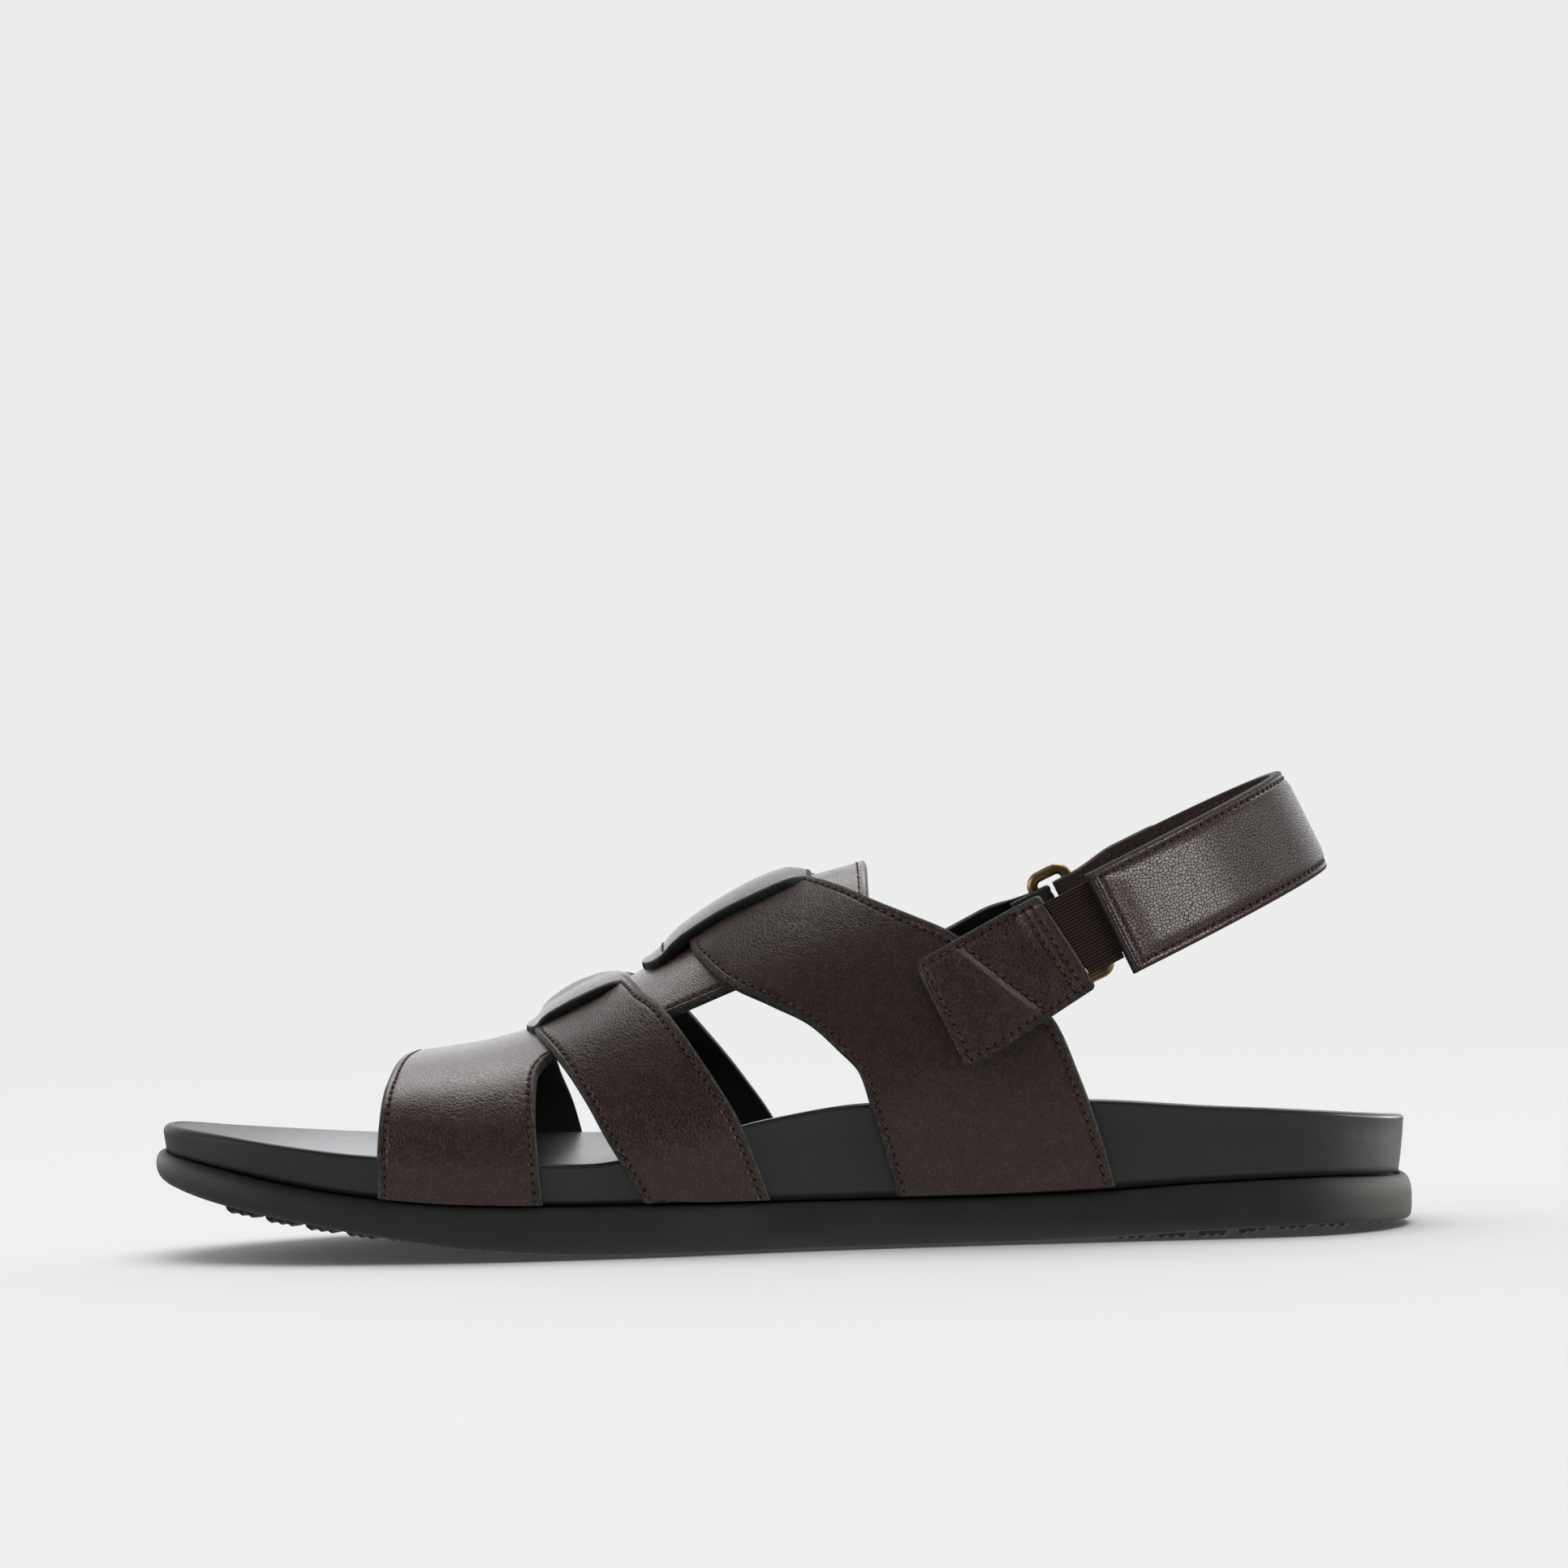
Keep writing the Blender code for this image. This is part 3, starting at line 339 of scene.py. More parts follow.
# pebbled leather: nearly flat slanting cells of uneven size, narrow grooves between them, finer broken wrinkles
def makeLeather(name, look):
    finish = Finish(name, Specular_IOR_Level=look["shine"], Coat_Roughness=look["roughness"], Coat_IOR=look["coatIor"])
    flat, perMetre = look["flat"], 1000 / look["cell"]      # flat: grain laid out on the piece before it is bent
    shaken = finish.jitter(finish.jitter(finish.weave() if flat else finish.place, 620.0, 0.0008), 90.0, 0.0016)
    leaning = finish.stretch(finish.stretch(shaken, turn=(0.0, 0.55, 0.3)), (1.30, 1.1, 0.78))
    crossed = finish.stretch(finish.stretch(shaken, turn=(0.4, -0.65, 0.0)), (1.40, 1.0, 0.70))
    edge, dome = finish.cells(leaning, perMetre, flat=flat), finish.cells(leaning, perMetre, "F1", flat)
    small = finish.cells(crossed, 1.5 * perMetre, flat=flat)
    grooves = finish.between(edge, 0.0, look["width"])
    fineGrooves = finish.between(small, 0.0, look["width"] * 1.1)
    patches = finish.between(finish.noise(finish.place, 45.0, 2.0), 0.35, 0.65)
    broken = finish.between(finish.noise(finish.place, 380.0, 2.0), 0.42, 0.60)
    pores = finish.noise(finish.place, 3800.0, 2.0)
    # lines, and on the bands the broken wrinkles too, take the look's line colour: paler on the bands, a painted
    # highlight; darker on the strap, its grooves
    lines = finish.between(edge, *look["lineWidth"], 1.0, 0.0)
    drawn = lines
    if look["coat"]:        # the gloss sits on the plateaus alone
        finish.set(Coat_Weight=(1 - lines) * look["coat"])
    else:
        drawn = lines + finish.between(small, 0.0, 0.10, 0.8, 0.0) * broken
    tone = finish.between(finish.noise(finish.place, 24.0, 3.0), 0.3, 0.7)
    return finish.wear(
        finish.mix(drawn * look["lineShare"], finish.mix(tone, look["base"], look["warm"]), look["line"]),
        look["roughness"] + 0.14 * (1 - grooves) + 0.08 * (pores - 0.5),
        grooves * look["groove"] * (patches * 0.5 + 0.75) - dome * dome * look["dome"]
        + fineGrooves * broken * look["groove"] * look["fine"] + pores * 0.003)


def makeEdgePaint(name, paint, fibre, share=0.7):      # cut edges: painted dark, with paler fibres
    finish = Finish(name, Specular_IOR_Level=0.4)
    fibres = finish.noise(finish.stretch(finish.place, (1.0, 1.0, 1.6)), 2600.0, 4.0, 0.7)
    lumps = finish.noise(finish.place, 700.0, 3.0)
    flecks = finish.between(fibres, 0.50, 0.68) * finish.between(lumps, 0.34, 0.62)
    return finish.wear(finish.mix(flecks * share, paint, fibre), 0.45 + 0.3 * fibres, fibres * 0.10 + lumps * 0.22)


# a nap of dark and light fibres: linings, thread, and the piles of hook and loop
def makeNap(name, dark, light, scale=3000.0, detail=4.0, grit=0.7, shine=0.25, turn=(0, 0, 0), lightFrom=(0.35, 0.7),
            rough=(0.75, 0.2), relief=0.05, curls=0.0):
    finish = Finish(name, Specular_IOR_Level=shine)
    nap = finish.noise(finish.stretch(finish.place, turn=turn), scale, detail, grit)
    height = nap * relief
    if curls:
        height = height + finish.cells(finish.place, scale * 0.7, "F1") * curls
    return finish.wear(finish.mix(finish.between(nap, *lightFrom), dark, light), rough[0] + rough[1] * nap, height)


# near-black: painted shade inside the needle holes
def makeHoleShade():
    finish = Finish("needleHoleShade", Specular_IOR_Level=0.1, Roughness=0.9)
    finish.set(Base_Color=finish.mix(finish.noise(finish.place, 3000.0), colour(10, 7, 6), colour(22, 14, 12)))
    return finish.material


def makeWrap():             # the footbed's fine-grained cover
    finish = Finish("footbedWrap", Specular_IOR_Level=0.5)
    grain = finish.cells(finish.jitter(finish.place, 900.0, 0.0005), 2600.0)
    creases = finish.noise(finish.stretch(finish.place, (0.5, 1.0, 1.0)), 900.0, 4.0)
    patches = finish.noise(finish.place, 30.0, 3.0)
    toe = finish.between(finish.axis(finish.place, "X"), -0.142, -0.098, 1.0, 0.0)     # less rubbed, so duller
    base = finish.mix(finish.between(patches, 0.35, 0.7), colour(54, 54, 55), colour(60, 60, 61))
    return finish.wear(finish.mix(finish.between(grain, 0.0, 0.16, 0.5, 0.0), base, colour(44, 44, 46)),
                       0.30 + 0.12 * (creases - 0.5) + 0.06 * patches + 0.20 * toe,
                       finish.between(grain, 0.0, 0.2) * 0.010 + creases * 0.022)


def makeRubber():
    finish = Finish("rubber", Specular_IOR_Level=0.4)
    skin = finish.noise(finish.place, 2200.0, 4.0, 0.65)
    patches = finish.noise(finish.place, 40.0, 4.0)
    base = finish.mix(finish.between(patches, 0.35, 0.7), colour(44, 44, 43), colour(34, 34, 33))
    scuffs = finish.between(finish.noise(finish.place, 320.0, 5.0, 0.7), 0.56, 0.72) * 0.10
    # paler scuffs, and paler patches that grow towards the bottom within 6 mm of it
    low = finish.between(finish.axis(finish.place, "Z"), 0.0, 0.006, 0.35, 0.0)
    paleMarks = scuffs + low * finish.between(patches, 0.3, 0.6)
    return finish.wear(finish.mix(paleMarks, base, colour(84, 81, 74)), 0.52 + 0.16 * skin, skin * 0.028)


def makeWeave():            # elastic: ribs along the strap, crossed by fine picks
    finish = Finish("elasticWeave", Specular_IOR_Level=0.25)
    way, pitch = finish.weave(), {"Y": 0.74, "X": 0.56}     # the ribs' and the picks' pitch, in millimetres

    def ripple(axis):
        angle = finish.axis(way, axis) * (2 * math.pi / pitch[axis])
        return angle.math("COSINE", angle) * 0.5 + 0.5

    cloth = ripple("Y") * (ripple("X") * 0.65 + 0.35)
    fuzz = finish.noise(finish.place, 5200.0, 3.0)
    return finish.wear(finish.mix(finish.between(cloth + 0.3 * (fuzz - 0.5), 0.15, 0.9), colour(22, 15, 12),
                                  colour(90, 67, 56)), 0.8 + 0.1 * fuzz, cloth * 0.13 + fuzz * 0.03)


def makeBrass():
    finish = Finish("antiqueBrass", Metallic=1.0)
    tarnish = finish.between(finish.noise(finish.place, 260.0, 4.0, 0.6), 0.38, 0.66)
    brush = finish.noise(finish.stretch(finish.place, (1.0, 6.0, 1.0)), 1600.0, 3.0)
    return finish.wear(finish.mix(tarnish * 0.75, colour(186, 158, 112), colour(112, 90, 60)),
                       0.26 + 0.22 * tarnish + 0.08 * brush, brush * 0.012 + tarnish * 0.02)


pile = {"grit": 0.75, "shine": 0.2, "rough": (0.85, 0.1), "relief": 0.25, "curls": 0.2}
looks = {
    "leather": makeLeather("pebbledLeather", leatherLook),
    "strapLeather": makeLeather("strapLeather", strapLook),
    "edge": makeEdgePaint("cutEdge", colour(34, 31, 29), colour(150, 144, 132), 0.75),
    "darkEdge": makeEdgePaint("rolledEdge", colour(7, 7, 7), colour(38, 37, 36), 0.4),
    "strapEdge": makeEdgePaint("strapEdge", colour(30, 25, 22), colour(98, 86, 78)),
    "blackEdge": makeEdgePaint("blackEdge", colour(11, 11, 13), colour(36, 35, 36), 0.5),
    "strapLining": makeNap("strapLining", colour(26, 19, 17), colour(50, 37, 33)),
    "lining": makeNap("lining", colour(24, 21, 21), colour(38, 33, 31)),
    "thread": makeNap("thread", colour(50, 30, 24), colour(130, 90, 72), 4200.0, 2.0, 0.55, 0.3, (0.4, 0.7, 0.2),
                      (0.40, 0.72), (0.5, 0.25), 0.06),
    # painted shade for the needle holes
    "hole": makeHoleShade(),
    "hooks": makeNap("hookTape", colour(26, 20, 20), colour(52, 40, 38), 3200.0, **pile),
    "loops": makeNap("loopTape", colour(34, 24, 23), colour(74, 52, 46), 2400.0, **pile),
    "wrap": makeWrap(),
    "rubber": makeRubber(),
    "weave": makeWeave(),
    "brass": makeBrass(),
}
print("finishes:", len(looks))


# ---- sheets: a strip of leather with rounded cut edges, laid along a path

@contextmanager
def editing(mesh):
    bm = bmesh.new()
    bm.from_mesh(mesh)
    yield bm
    bm.to_mesh(mesh)
    bm.free()


# a grid whose vertices place(column, row) puts; also the lowest column and row of each face
def gridMesh(columns, rows, place, weave=None):
    mesh = bpy.data.meshes.new("grid")
    with editing(mesh) as bm:
        bmesh.ops.create_grid(bm, x_segments=columns, y_segments=rows, size=0.5)
    flat, corners = np.zeros(len(mesh.vertices) * 3), np.zeros(len(mesh.loops), int)
    mesh.vertices.foreach_get("co", flat)
    mesh.loops.foreach_get("vertex_index", corners)
    corners = corners.reshape(-1, 4)
    column, row = (np.rint((flat[k::3] + 0.5) * count).astype(int) for k, count in ((0, columns), (1, rows)))
    mesh.vertices.foreach_set("co", place(column, row).ravel())
    if weave:
        mesh.attributes.new("weave", "FLOAT_VECTOR", "POINT").data.foreach_set("vector", weave(column, row).ravel())
    return mesh, column[corners].min(1), row[corners].min(1)


def finishMesh(mesh, capZone=1):
    with editing(mesh) as bm:
        bmesh.ops.remove_doubles(bm, verts=bm.verts, dist=2e-6)
        edges = [edge for edge in bm.edges if edge.is_boundary]
        if edges:
            for face in bmesh.ops.holes_fill(bm, edges=edges, sides=0)["faces"]:
                face.material_index = capZone
        bmesh.ops.recalc_face_normals(bm, faces=bm.faces)
    mesh.shade_smooth()
    return mesh


def addPiece(name, mesh, materials, slot, *nodes):
    for material in materials:
        mesh.materials.append(looks[material])
    mesh.name = name
    piece = bpy.data.objects.new(name, mesh)
    bpy.context.scene.collection.objects.link(piece)
    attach(piece, "root")
    if nodes:
        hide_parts(*nodes)
    print(name + ":", len(mesh.polygons), "faces")
    return piece


# points round a sheet's section, front edge first: share across, distance from the front and rear edge,
# height above the underside, zone (0 face, 1 cut edge, 2 underside). insets are the seams' distances in.
def section(wall, insets=(None, None), top=0.85, bottom=0.30, faceSpans=16, backSpans=10):
    groove, grooveWidth, clear = 0.20, 0.40, 0.08
    besideSeam, besideEdge = (-0.95, -0.6, -0.38, -0.2, 0.0, 0.2, 0.38, 0.6, 0.95, 1.6), (0.3, 0.8, 1.5, 2.2)
    sides = []
    for inset in insets:
        rows = [(bottom * (1 - math.sin(a)), bottom * (1 - math.cos(a)), 1) for a in np.radians((0, 30, 60, 90))]
        rows.append((0.0, wall * 0.5, 1))
        rows += [(top * (1 - math.cos(a)), wall - top * (1 - math.sin(a)), 1) for a in np.radians((0, 22, 45, 68))]
        rows.append((top, wall, 0))
        for mark in besideSeam if inset else besideEdge:
            d, dip = (inset + mark, groove * math.exp(-(mark / grooveWidth) ** 2)) if inset else (top + mark, 0)
            if d > top + clear:
                rows.append((d, wall - dip, 0))
        sides.append(rows)
    near, far = sides
    while len(near) != len(far):    # both edges have the same number of rows
        short = min(near, far, key=len)
        short.append((short[-1][0] + 0.5, wall, 0))
    points = [(0.0, d, 0.0, h, z) for d, h, z in near]
    points += [(s, near[-1][0] * (1 - s), far[-1][0] * s, wall, 0) for s in np.arange(1, faceSpans) / faceSpans]
    points += [(1.0, 0.0, far[k][0], far[k][1], far[k - 1][2] if k else 2) for k in range(len(far) - 1, -1, -1)]
    points += [(1 - s, near[0][0] * s, far[0][0] * (1 - s), 0.0, 2) for s in np.arange(1, backSpans) / backSpans]
    share, front, rear, height, zone = np.array(points).T
    return {"share": share, "front": front * mm, "rear": rear * mm, "height": height * mm, "zone": zone.astype(int)}


def sheetMesh(stations, loop, place, weave=None):
    count = len(loop["share"])

    def put(column, row):
        return place(stations[column], *(loop[name][row % count] for name in ("share", "front", "rear", "height")))

    def woven(column, row):
        return weave(stations[column], row % count)

    mesh, first, which = gridMesh(len(stations) - 1, count, put, woven if weave else None)
    setZones(mesh, loop["zone"][which % count])
    return mesh, first


def zonesOf(mesh):
    zones = np.zeros(len(mesh.polygons), np.int32)
    mesh.polygons.foreach_get("material_index", zones)
    return zones


def setZones(mesh, zones):
    mesh.polygons.foreach_set("material_index", zones.astype(np.int32))


# stitches: small sunk capsules at an even pitch along a line of points and normals, between near-black capsules that
# paint the shade inside the needle holes
stitching = {"pitch": 2.1 * mm, "length": 1.84 / 2.1, "radius": 0.26 * mm, "sunk": 0.01 * mm, "slant": 9.0,
             "hole": (0.21 * mm, 0.21 * mm, 0.11 * mm)}
seams = []


def addSeam(points, normals, start=1.0, end=1.0):
    run = runOf(points)
    length = run[-1] - (start + end) * mm
    count = max(int(length / stitching["pitch"]), 1)
    marks = start * mm + np.arange(count + 1) * length / count
    holes, ups = onPath(points, run, marks), unit(onPath(normals, run, marks))
    for k in range(count):
        seams.append((unit(ups[k] + ups[k + 1]), holes[k], holes[k + 1]))
    return holes


def buildStitches(name, slot):
    stitch = bpy.data.meshes.new("stitch")
    with editing(stitch) as bm:
        bmesh.ops.create_uvsphere(bm, u_segments=7, v_segments=6, radius=1.0)
    mesh = bpy.data.meshes.new(name)

    def add(bm, x, y, z, spot, size):
        shaped = stitch.copy()
        turn = Matrix((x, y, z)).transposed().to_4x4()
        shaped.transform(Matrix.Translation(spot) @ turn @ Matrix.Diagonal((*size, 1)))
        bm.from_mesh(shaped)
        bpy.data.meshes.remove(shaped)

    with editing(mesh) as bm:
        for up, first, last in seams:
            length = np.linalg.norm(last - first) * stitching["length"] / 2
            x = unit(last - first)
            y = unit(np.cross(up, x))
            z = np.cross(x, y)
            turn = math.radians(stitching["slant"] + rng.normal(0, 2.0))
            x, y = x * math.cos(turn) + y * math.sin(turn), y * math.cos(turn) - x * math.sin(turn)
            size = stitching["radius"] * rng.uniform(0.92, 1.08)
            add(bm, x, y, z, (first + last) / 2 - up * stitching["sunk"], (length, size * 1.15, size))
        threads = len(bm.faces)
        # a near-black capsule at each end of a stitch: painted shade in its needle hole
        for up, first, last in seams:
            for spot in (first, last):
                x = unit(last - first)
                add(bm, x, np.cross(up, x), up, spot, stitching["hole"])
        bm.faces.ensure_lookup_table()
        for k in range(threads, len(bm.faces)):
            bm.faces[k].material_index = 1
    bpy.data.meshes.remove(stitch)
    mesh.shade_smooth()
    seams.clear()
    return addPiece(name, mesh, ["thread", "hole"], slot)


def pinch(mesh, holes):     # pulls the leather in at the needle holes
    depth, reach = 0.16 * mm, 0.85 * mm
    holes = np.vstack(holes)
    tree = kdtree.KDTree(len(holes))
    for k, hole in enumerate(holes):
        tree.insert(Vector(hole), k)
    tree.balance()
    with editing(mesh) as bm:
        bm.normal_update()
        for vert in bm.verts:
            _, _, distance = tree.find(vert.co)
            if distance < reach:
                vert.co -= vert.normal * depth * (1 - (distance / reach) ** 2) ** 2


# ---- upper: bands over the form, woven through two keeper strips

leatherWall, layer = 2.2, 1.6 * mm
toeBand = {
    "at": (-1.00, -0.85, -0.70, -0.55, -0.47, -0.44, 0.00, 0.42, 0.46, 0.54, 0.66, 0.80, 1.00),
    "front": (-0.0916, -0.0915, -0.0909, -0.0900, -0.0893, -0.0891, -0.0868, -0.0855, -0.0851, -0.0847, -0.0844,
              -0.0848, -0.0850),
    "rear": (-0.0548, -0.0555, -0.0560, -0.0556, -0.0534, -0.0495, -0.0495, -0.0495, -0.0525, -0.0542, -0.0533,
             -0.0503, -0.0465),
}
middleBand = {
    "at": (-1.00, -0.87, -0.78, -0.69, -0.60, -0.50, -0.40, -0.30, 0.00, 0.30, 0.40, 0.50, 0.60, 0.74, 0.87, 1.00),
    "front": (-0.0320, -0.0372, -0.0408, -0.0439, -0.0471, -0.0504, -0.0531, -0.0550, -0.0575, -0.0550, -0.0530,
              -0.0500, -0.0462, -0.0395, -0.0325, -0.0262),
    "rear": (-0.0037, -0.0076, -0.0106, -0.0146, -0.0188, -0.0231, -0.0269, -0.0307, -0.0345, -0.0314, -0.0280,
             -0.0239, -0.0190, -0.0106, -0.0026, 0.0030),
}
instepBand = {
    "at": (-1.00, -0.90, -0.78, -0.69, -0.63, -0.56, -0.50, -0.43, -0.37, -0.30, -0.23, -0.15, -0.08, 0.08, 0.15,
           0.23, 0.30, 0.40, 0.49, 0.57, 0.66, 0.80, 1.00),
    "front": (0.0251, 0.0229, 0.0196, 0.0171, 0.0125, 0.0062, -0.0021, -0.0103, -0.0142, -0.0169, -0.0187, -0.0194,
              -0.0196, -0.0190, -0.0182, -0.0160, -0.0128, -0.0055, 0.0032, 0.0120, 0.0195, 0.0255, 0.0310),
    "rear": (0.0746, 0.0713, 0.0664, 0.0623, 0.0576, 0.0510, 0.0455, 0.0392, 0.0333, 0.0268, 0.0200, 0.0126, 0.0082,
             0.0084, 0.0118, 0.0172, 0.0224, 0.0308, 0.0405, 0.0495, 0.0576, 0.0668, 0.0755),
}
spine = {
    "at": (-0.0600, -0.0500, -0.0230, -0.0060, 0.0080, 0.0205),
    "inner": (-0.455, -0.455, -0.436, -0.412, -0.365, -0.290),
    "outer": (0.435, 0.435, 0.415, 0.395, 0.350, 0.270),
    "inset": 1.6 * mm, "seamFrom": -0.036, "end": (0.2 * mm, 0.3 * mm),     # rounded off this far before and beyond
    "sunk": 0.18 * mm, "sunkTo": (-0.0522, -0.0488),    # its hidden end lies just below the toe band's face
    "besideRamp": (-0.02, 0.30), "behindRamp": 12 * mm,     # where the bands over it come down again
}
strips = {
    "inner": -0.0165, "outer": 0.0150,      # edges of a keeper strip, round the form from the ridge
    "wall": 2.8, "pressed": 0.35 * mm,      # how far it is pressed into the band under it
    "swell": (0.72, 0.955), "darkEdge": 2.3 * mm,       # shares across where its far edge rises, and its dark width
    "seamShare": 0.7,
    "front": {
        "at": (-0.0578, -0.0573, -0.0563, -0.0549, -0.0532, -0.0508, -0.0444, -0.0402, -0.0372, -0.0357, -0.0346,
               -0.0337),
        "far": 1.5 * mm, "seam": 0.0,       # how much its far edge is raised, and where it is stitched across
        "lift": (0.0013, 0.0013, 0.0014, 0.0018, 0.0027, 0.0033, 0.0036, 0.0034, 0.0028, 0.0021, 0.0012, 0.0002),
        "width": (0.40, 0.66, 0.88, 0.98, 1.00, 1.00, 1.00, 0.97, 0.90, 0.84, 0.76, 0.66),
    },
    "rear": {
        "far": 0.0, "seam": 5.2 * mm,
        "at": (-0.0300, -0.0293, -0.0278, -0.0255, -0.0225, -0.0190, -0.0060, 0.0030, 0.0056, 0.0075, 0.0090),
        "lift": (0.0016, 0.0016, 0.0016, 0.0018, 0.0028, 0.0034, 0.0035, 0.0032, 0.0023, 0.0012, -0.0012),
        "width": (0.35, 0.60, 0.78, 0.84, 0.84, 0.84, 0.84, 0.74, 0.64, 0.56, 0.46),
    },
}


def overSpine(x, v):        # a band is a layer higher where it crosses the spine
    edge, end = valueAt(spine, "outer", x), spine["at"][-1]
    (start, stop), behind = spine["besideRamp"], spine["behindRamp"]
    return layer * (1 - ease(np.abs(v), edge + start, edge + stop)) * (1 - ease(x, end, end + behind))


def flatLift(x, v):
    return np.zeros_like(x)


# spot on the form at a distance in from a band's edge, square to that edge, as x and v
def edgeSpot(table, side, v, inset):
    window = 0.015
    x, around = valueAt(table, side, v), girth(valueAt(table, side, v), v)
    slope = (valueAt(table, side, v + window) - valueAt(table, side, v - window)) / (2 * window)
    step = inset / np.hypot(slope, around) * (1 if side == "front" else -1)
    return x + step * around, np.clip(v - step * slope / around, -1, 1)


def seamOn(x, v, height, **ends):
    return addSeam(onForm(x, v, height), formNormal(x, v), **ends)


def buildBand(table, lift, columns, insets):
    seamHeight = (leatherWall - 0.10) * mm

    def place(v, share, front, rear, height):
        (frontX, frontV), (rearX, rearV) = edgeSpot(table, "front", v, front), edgeSpot(table, "rear", v, rear)
        x, v = frontX + share * (rearX - frontX), frontV + share * (rearV - frontV)
        return onForm(x, v, lift(x, v) + height)

    mesh, _ = sheetMesh(np.linspace(-1, 1, columns + 1), section(leatherWall, insets), place)
    finishMesh(mesh)
    holes = []
    for side, inset in zip(("front", "rear"), insets):
        x, v = edgeSpot(table, side, np.linspace(-0.995, 0.995, 900), inset * mm)
        holes.append(seamOn(x, v, lift(x, v) + seamHeight))
    pinch(mesh, holes)
    return mesh


def buildSpine():
    end, inset, middle = spine["at"][-1], spine["inset"], leatherWall * mm / 2

    def edges(x):       # round the form, from the ridge
        return valueAt(spine, "inner", x) * girth(x, -1.0), valueAt(spine, "outer", x) * girth(x, 1.0)

    def place(x, share, front, rear, height):
        reach = sheetSpot(*edges(x), share, front, rear)
        height = middle + (height - middle) * roundedEnd((x - end + spine["end"][0]) / sum(spine["end"]), 0.05)
        return onForm(x, reach / girth(x, reach), height - spine["sunk"] * (1 - ease(x, *spine["sunkTo"])))

    def seam(x, reach, **ends):
        return seamOn(x, reach / girth(x, reach), np.full_like(x, (leatherWall - 0.1) * mm), **ends)

    stations = np.concatenate([np.linspace(spine["at"][0], end, 170), end + spine["end"][1] * np.array([0.6, 1.0])])
    mesh, _ = sheetMesh(stations, section(leatherWall, (inset / mm,) * 2), place)
    finishMesh(mesh)
    x = np.linspace(spine["seamFrom"], end - inset, 400)
    start, stop = edges(x)
    across = np.linspace(start[-1] + inset, stop[-1] - inset, 200)
    pinch(mesh, [seam(x, start + inset), seam(x, stop - inset),
                 seam(np.full(200, end - inset), across, start=0, end=0)])
    return mesh


def buildStrip(table):
    first, last = table["at"][0], table["at"][-1]
    wall, seamHeight = strips["wall"] * mm, (strips["wall"] - 0.3) * mm
    loop = section(strips["wall"], top=0.9, bottom=0.5, faceSpans=14)
    inward, outward = 0.4 * mm, np.array([0.1, 0.24, 0.3]) * mm     # its two ends are rounded off from here to here

    def place(at, share, front, rear, height):
        inside = np.clip(at, first, last)
        squeeze = roundedEnd((np.maximum(first - at, at - last) + inward) / (0.72 * mm), 0.06)
        width = valueAt(table, "width", inside)
        start, stop = strips["inner"] * width, strips["outer"] * width
        reach = sheetSpot(start, stop, share, front, rear)
        swell = ease((reach - start) / (stop - start), *strips["swell"])
        swell *= np.sin((inside - first) / (last - first) * math.pi) * table["far"] * height / wall
        height = wall / 2 + (height - wall / 2) * squeeze + swell
        return onForm(at, reach / girth(inside, reach), valueAt(table, "lift", inside) - strips["pressed"] + height)

    # all but the face take the black edge finish; on the front strip so does the face, for darkEdge in from its raised
    # far edge
    dark = (loop["share"] == 1.0) & (loop["rear"] < strips["darkEdge"]) & (table["far"] > 0)
    loop["zone"] = np.where((loop["zone"] == 0) & ~dark, 0, 3)
    stations = np.concatenate([first - outward[::-1], np.linspace(first, last, 120), last + outward])
    mesh, _ = sheetMesh(stations, loop, place)
    finishMesh(mesh, capZone=3)
    if table["seam"]:       # one line of stitches across
        reach = np.linspace(strips["inner"], strips["outer"], 100) * strips["seamShare"]
        at = np.full_like(reach, first + table["seam"])
        pinch(mesh, [seamOn(at, reach / girth(at, reach), valueAt(table, "lift", at) + seamHeight, start=0, end=0)])
    return mesh


def buildUpper():
    parts = {
        "toeBand": buildBand(toeBand, flatLift, 330, (1.8, 1.6)),
        "middleBand": buildBand(middleBand, overSpine, 380, (1.5, 2.0)),
        "instepBand": buildBand(instepBand, overSpine, 460, (1.6, 1.9)),
        "spine": buildSpine(),
        "frontStrip": buildStrip(strips["front"]),
        "rearStrip": buildStrip(strips["rear"]),
    }
    for name, mesh in parts.items():
        addPiece(name, mesh, ["leather", "edge", "lining", "blackEdge"], "leather", "upper")
    buildStitches("upperStitching", "leather")


buildUpper()

# ---- sole: rings of points from the middle of the underside round the side to the middle of the top

outsoleLook = {
    # reach, inset in mm, share of the height
    "rings": ((0.0, 4.6, 0.0), (0.5, 4.6, 0.0), (0.9, 4.6, 0.0), (1.0, 4.6, 0.0), (1.0, 3.4, 0.005), (1.0, 2.4, 0.02),
              (1.0, 1.6, 0.05), (1.0, 0.95, 0.11), (1.0, 0.5, 0.19), (1.0, 0.2, 0.30), (1.0, 0.05, 0.42),
              (1.0, 0.0, 0.52), (1.0, 0.08, 0.64), (1.0, 0.22, 0.74), (1.0, 0.48, 0.83), (1.0, 0.85, 0.90),
              (1.0, 1.3, 0.95), (1.0, 1.75, 0.975), (1.0, 2.35, 0.985), (1.0, 2.65, 0.97), (1.0, 2.8, 0.93),
              (1.0, 2.9, 0.88), (0.8, 2.9, 0.88), (0.0, 2.9, 0.88)),
    "toeSoft": (1.15, -0.100, -0.140), "heelSoft": (0.28, 0.090, 0.130), "sharpAngle": math.radians(40),
}
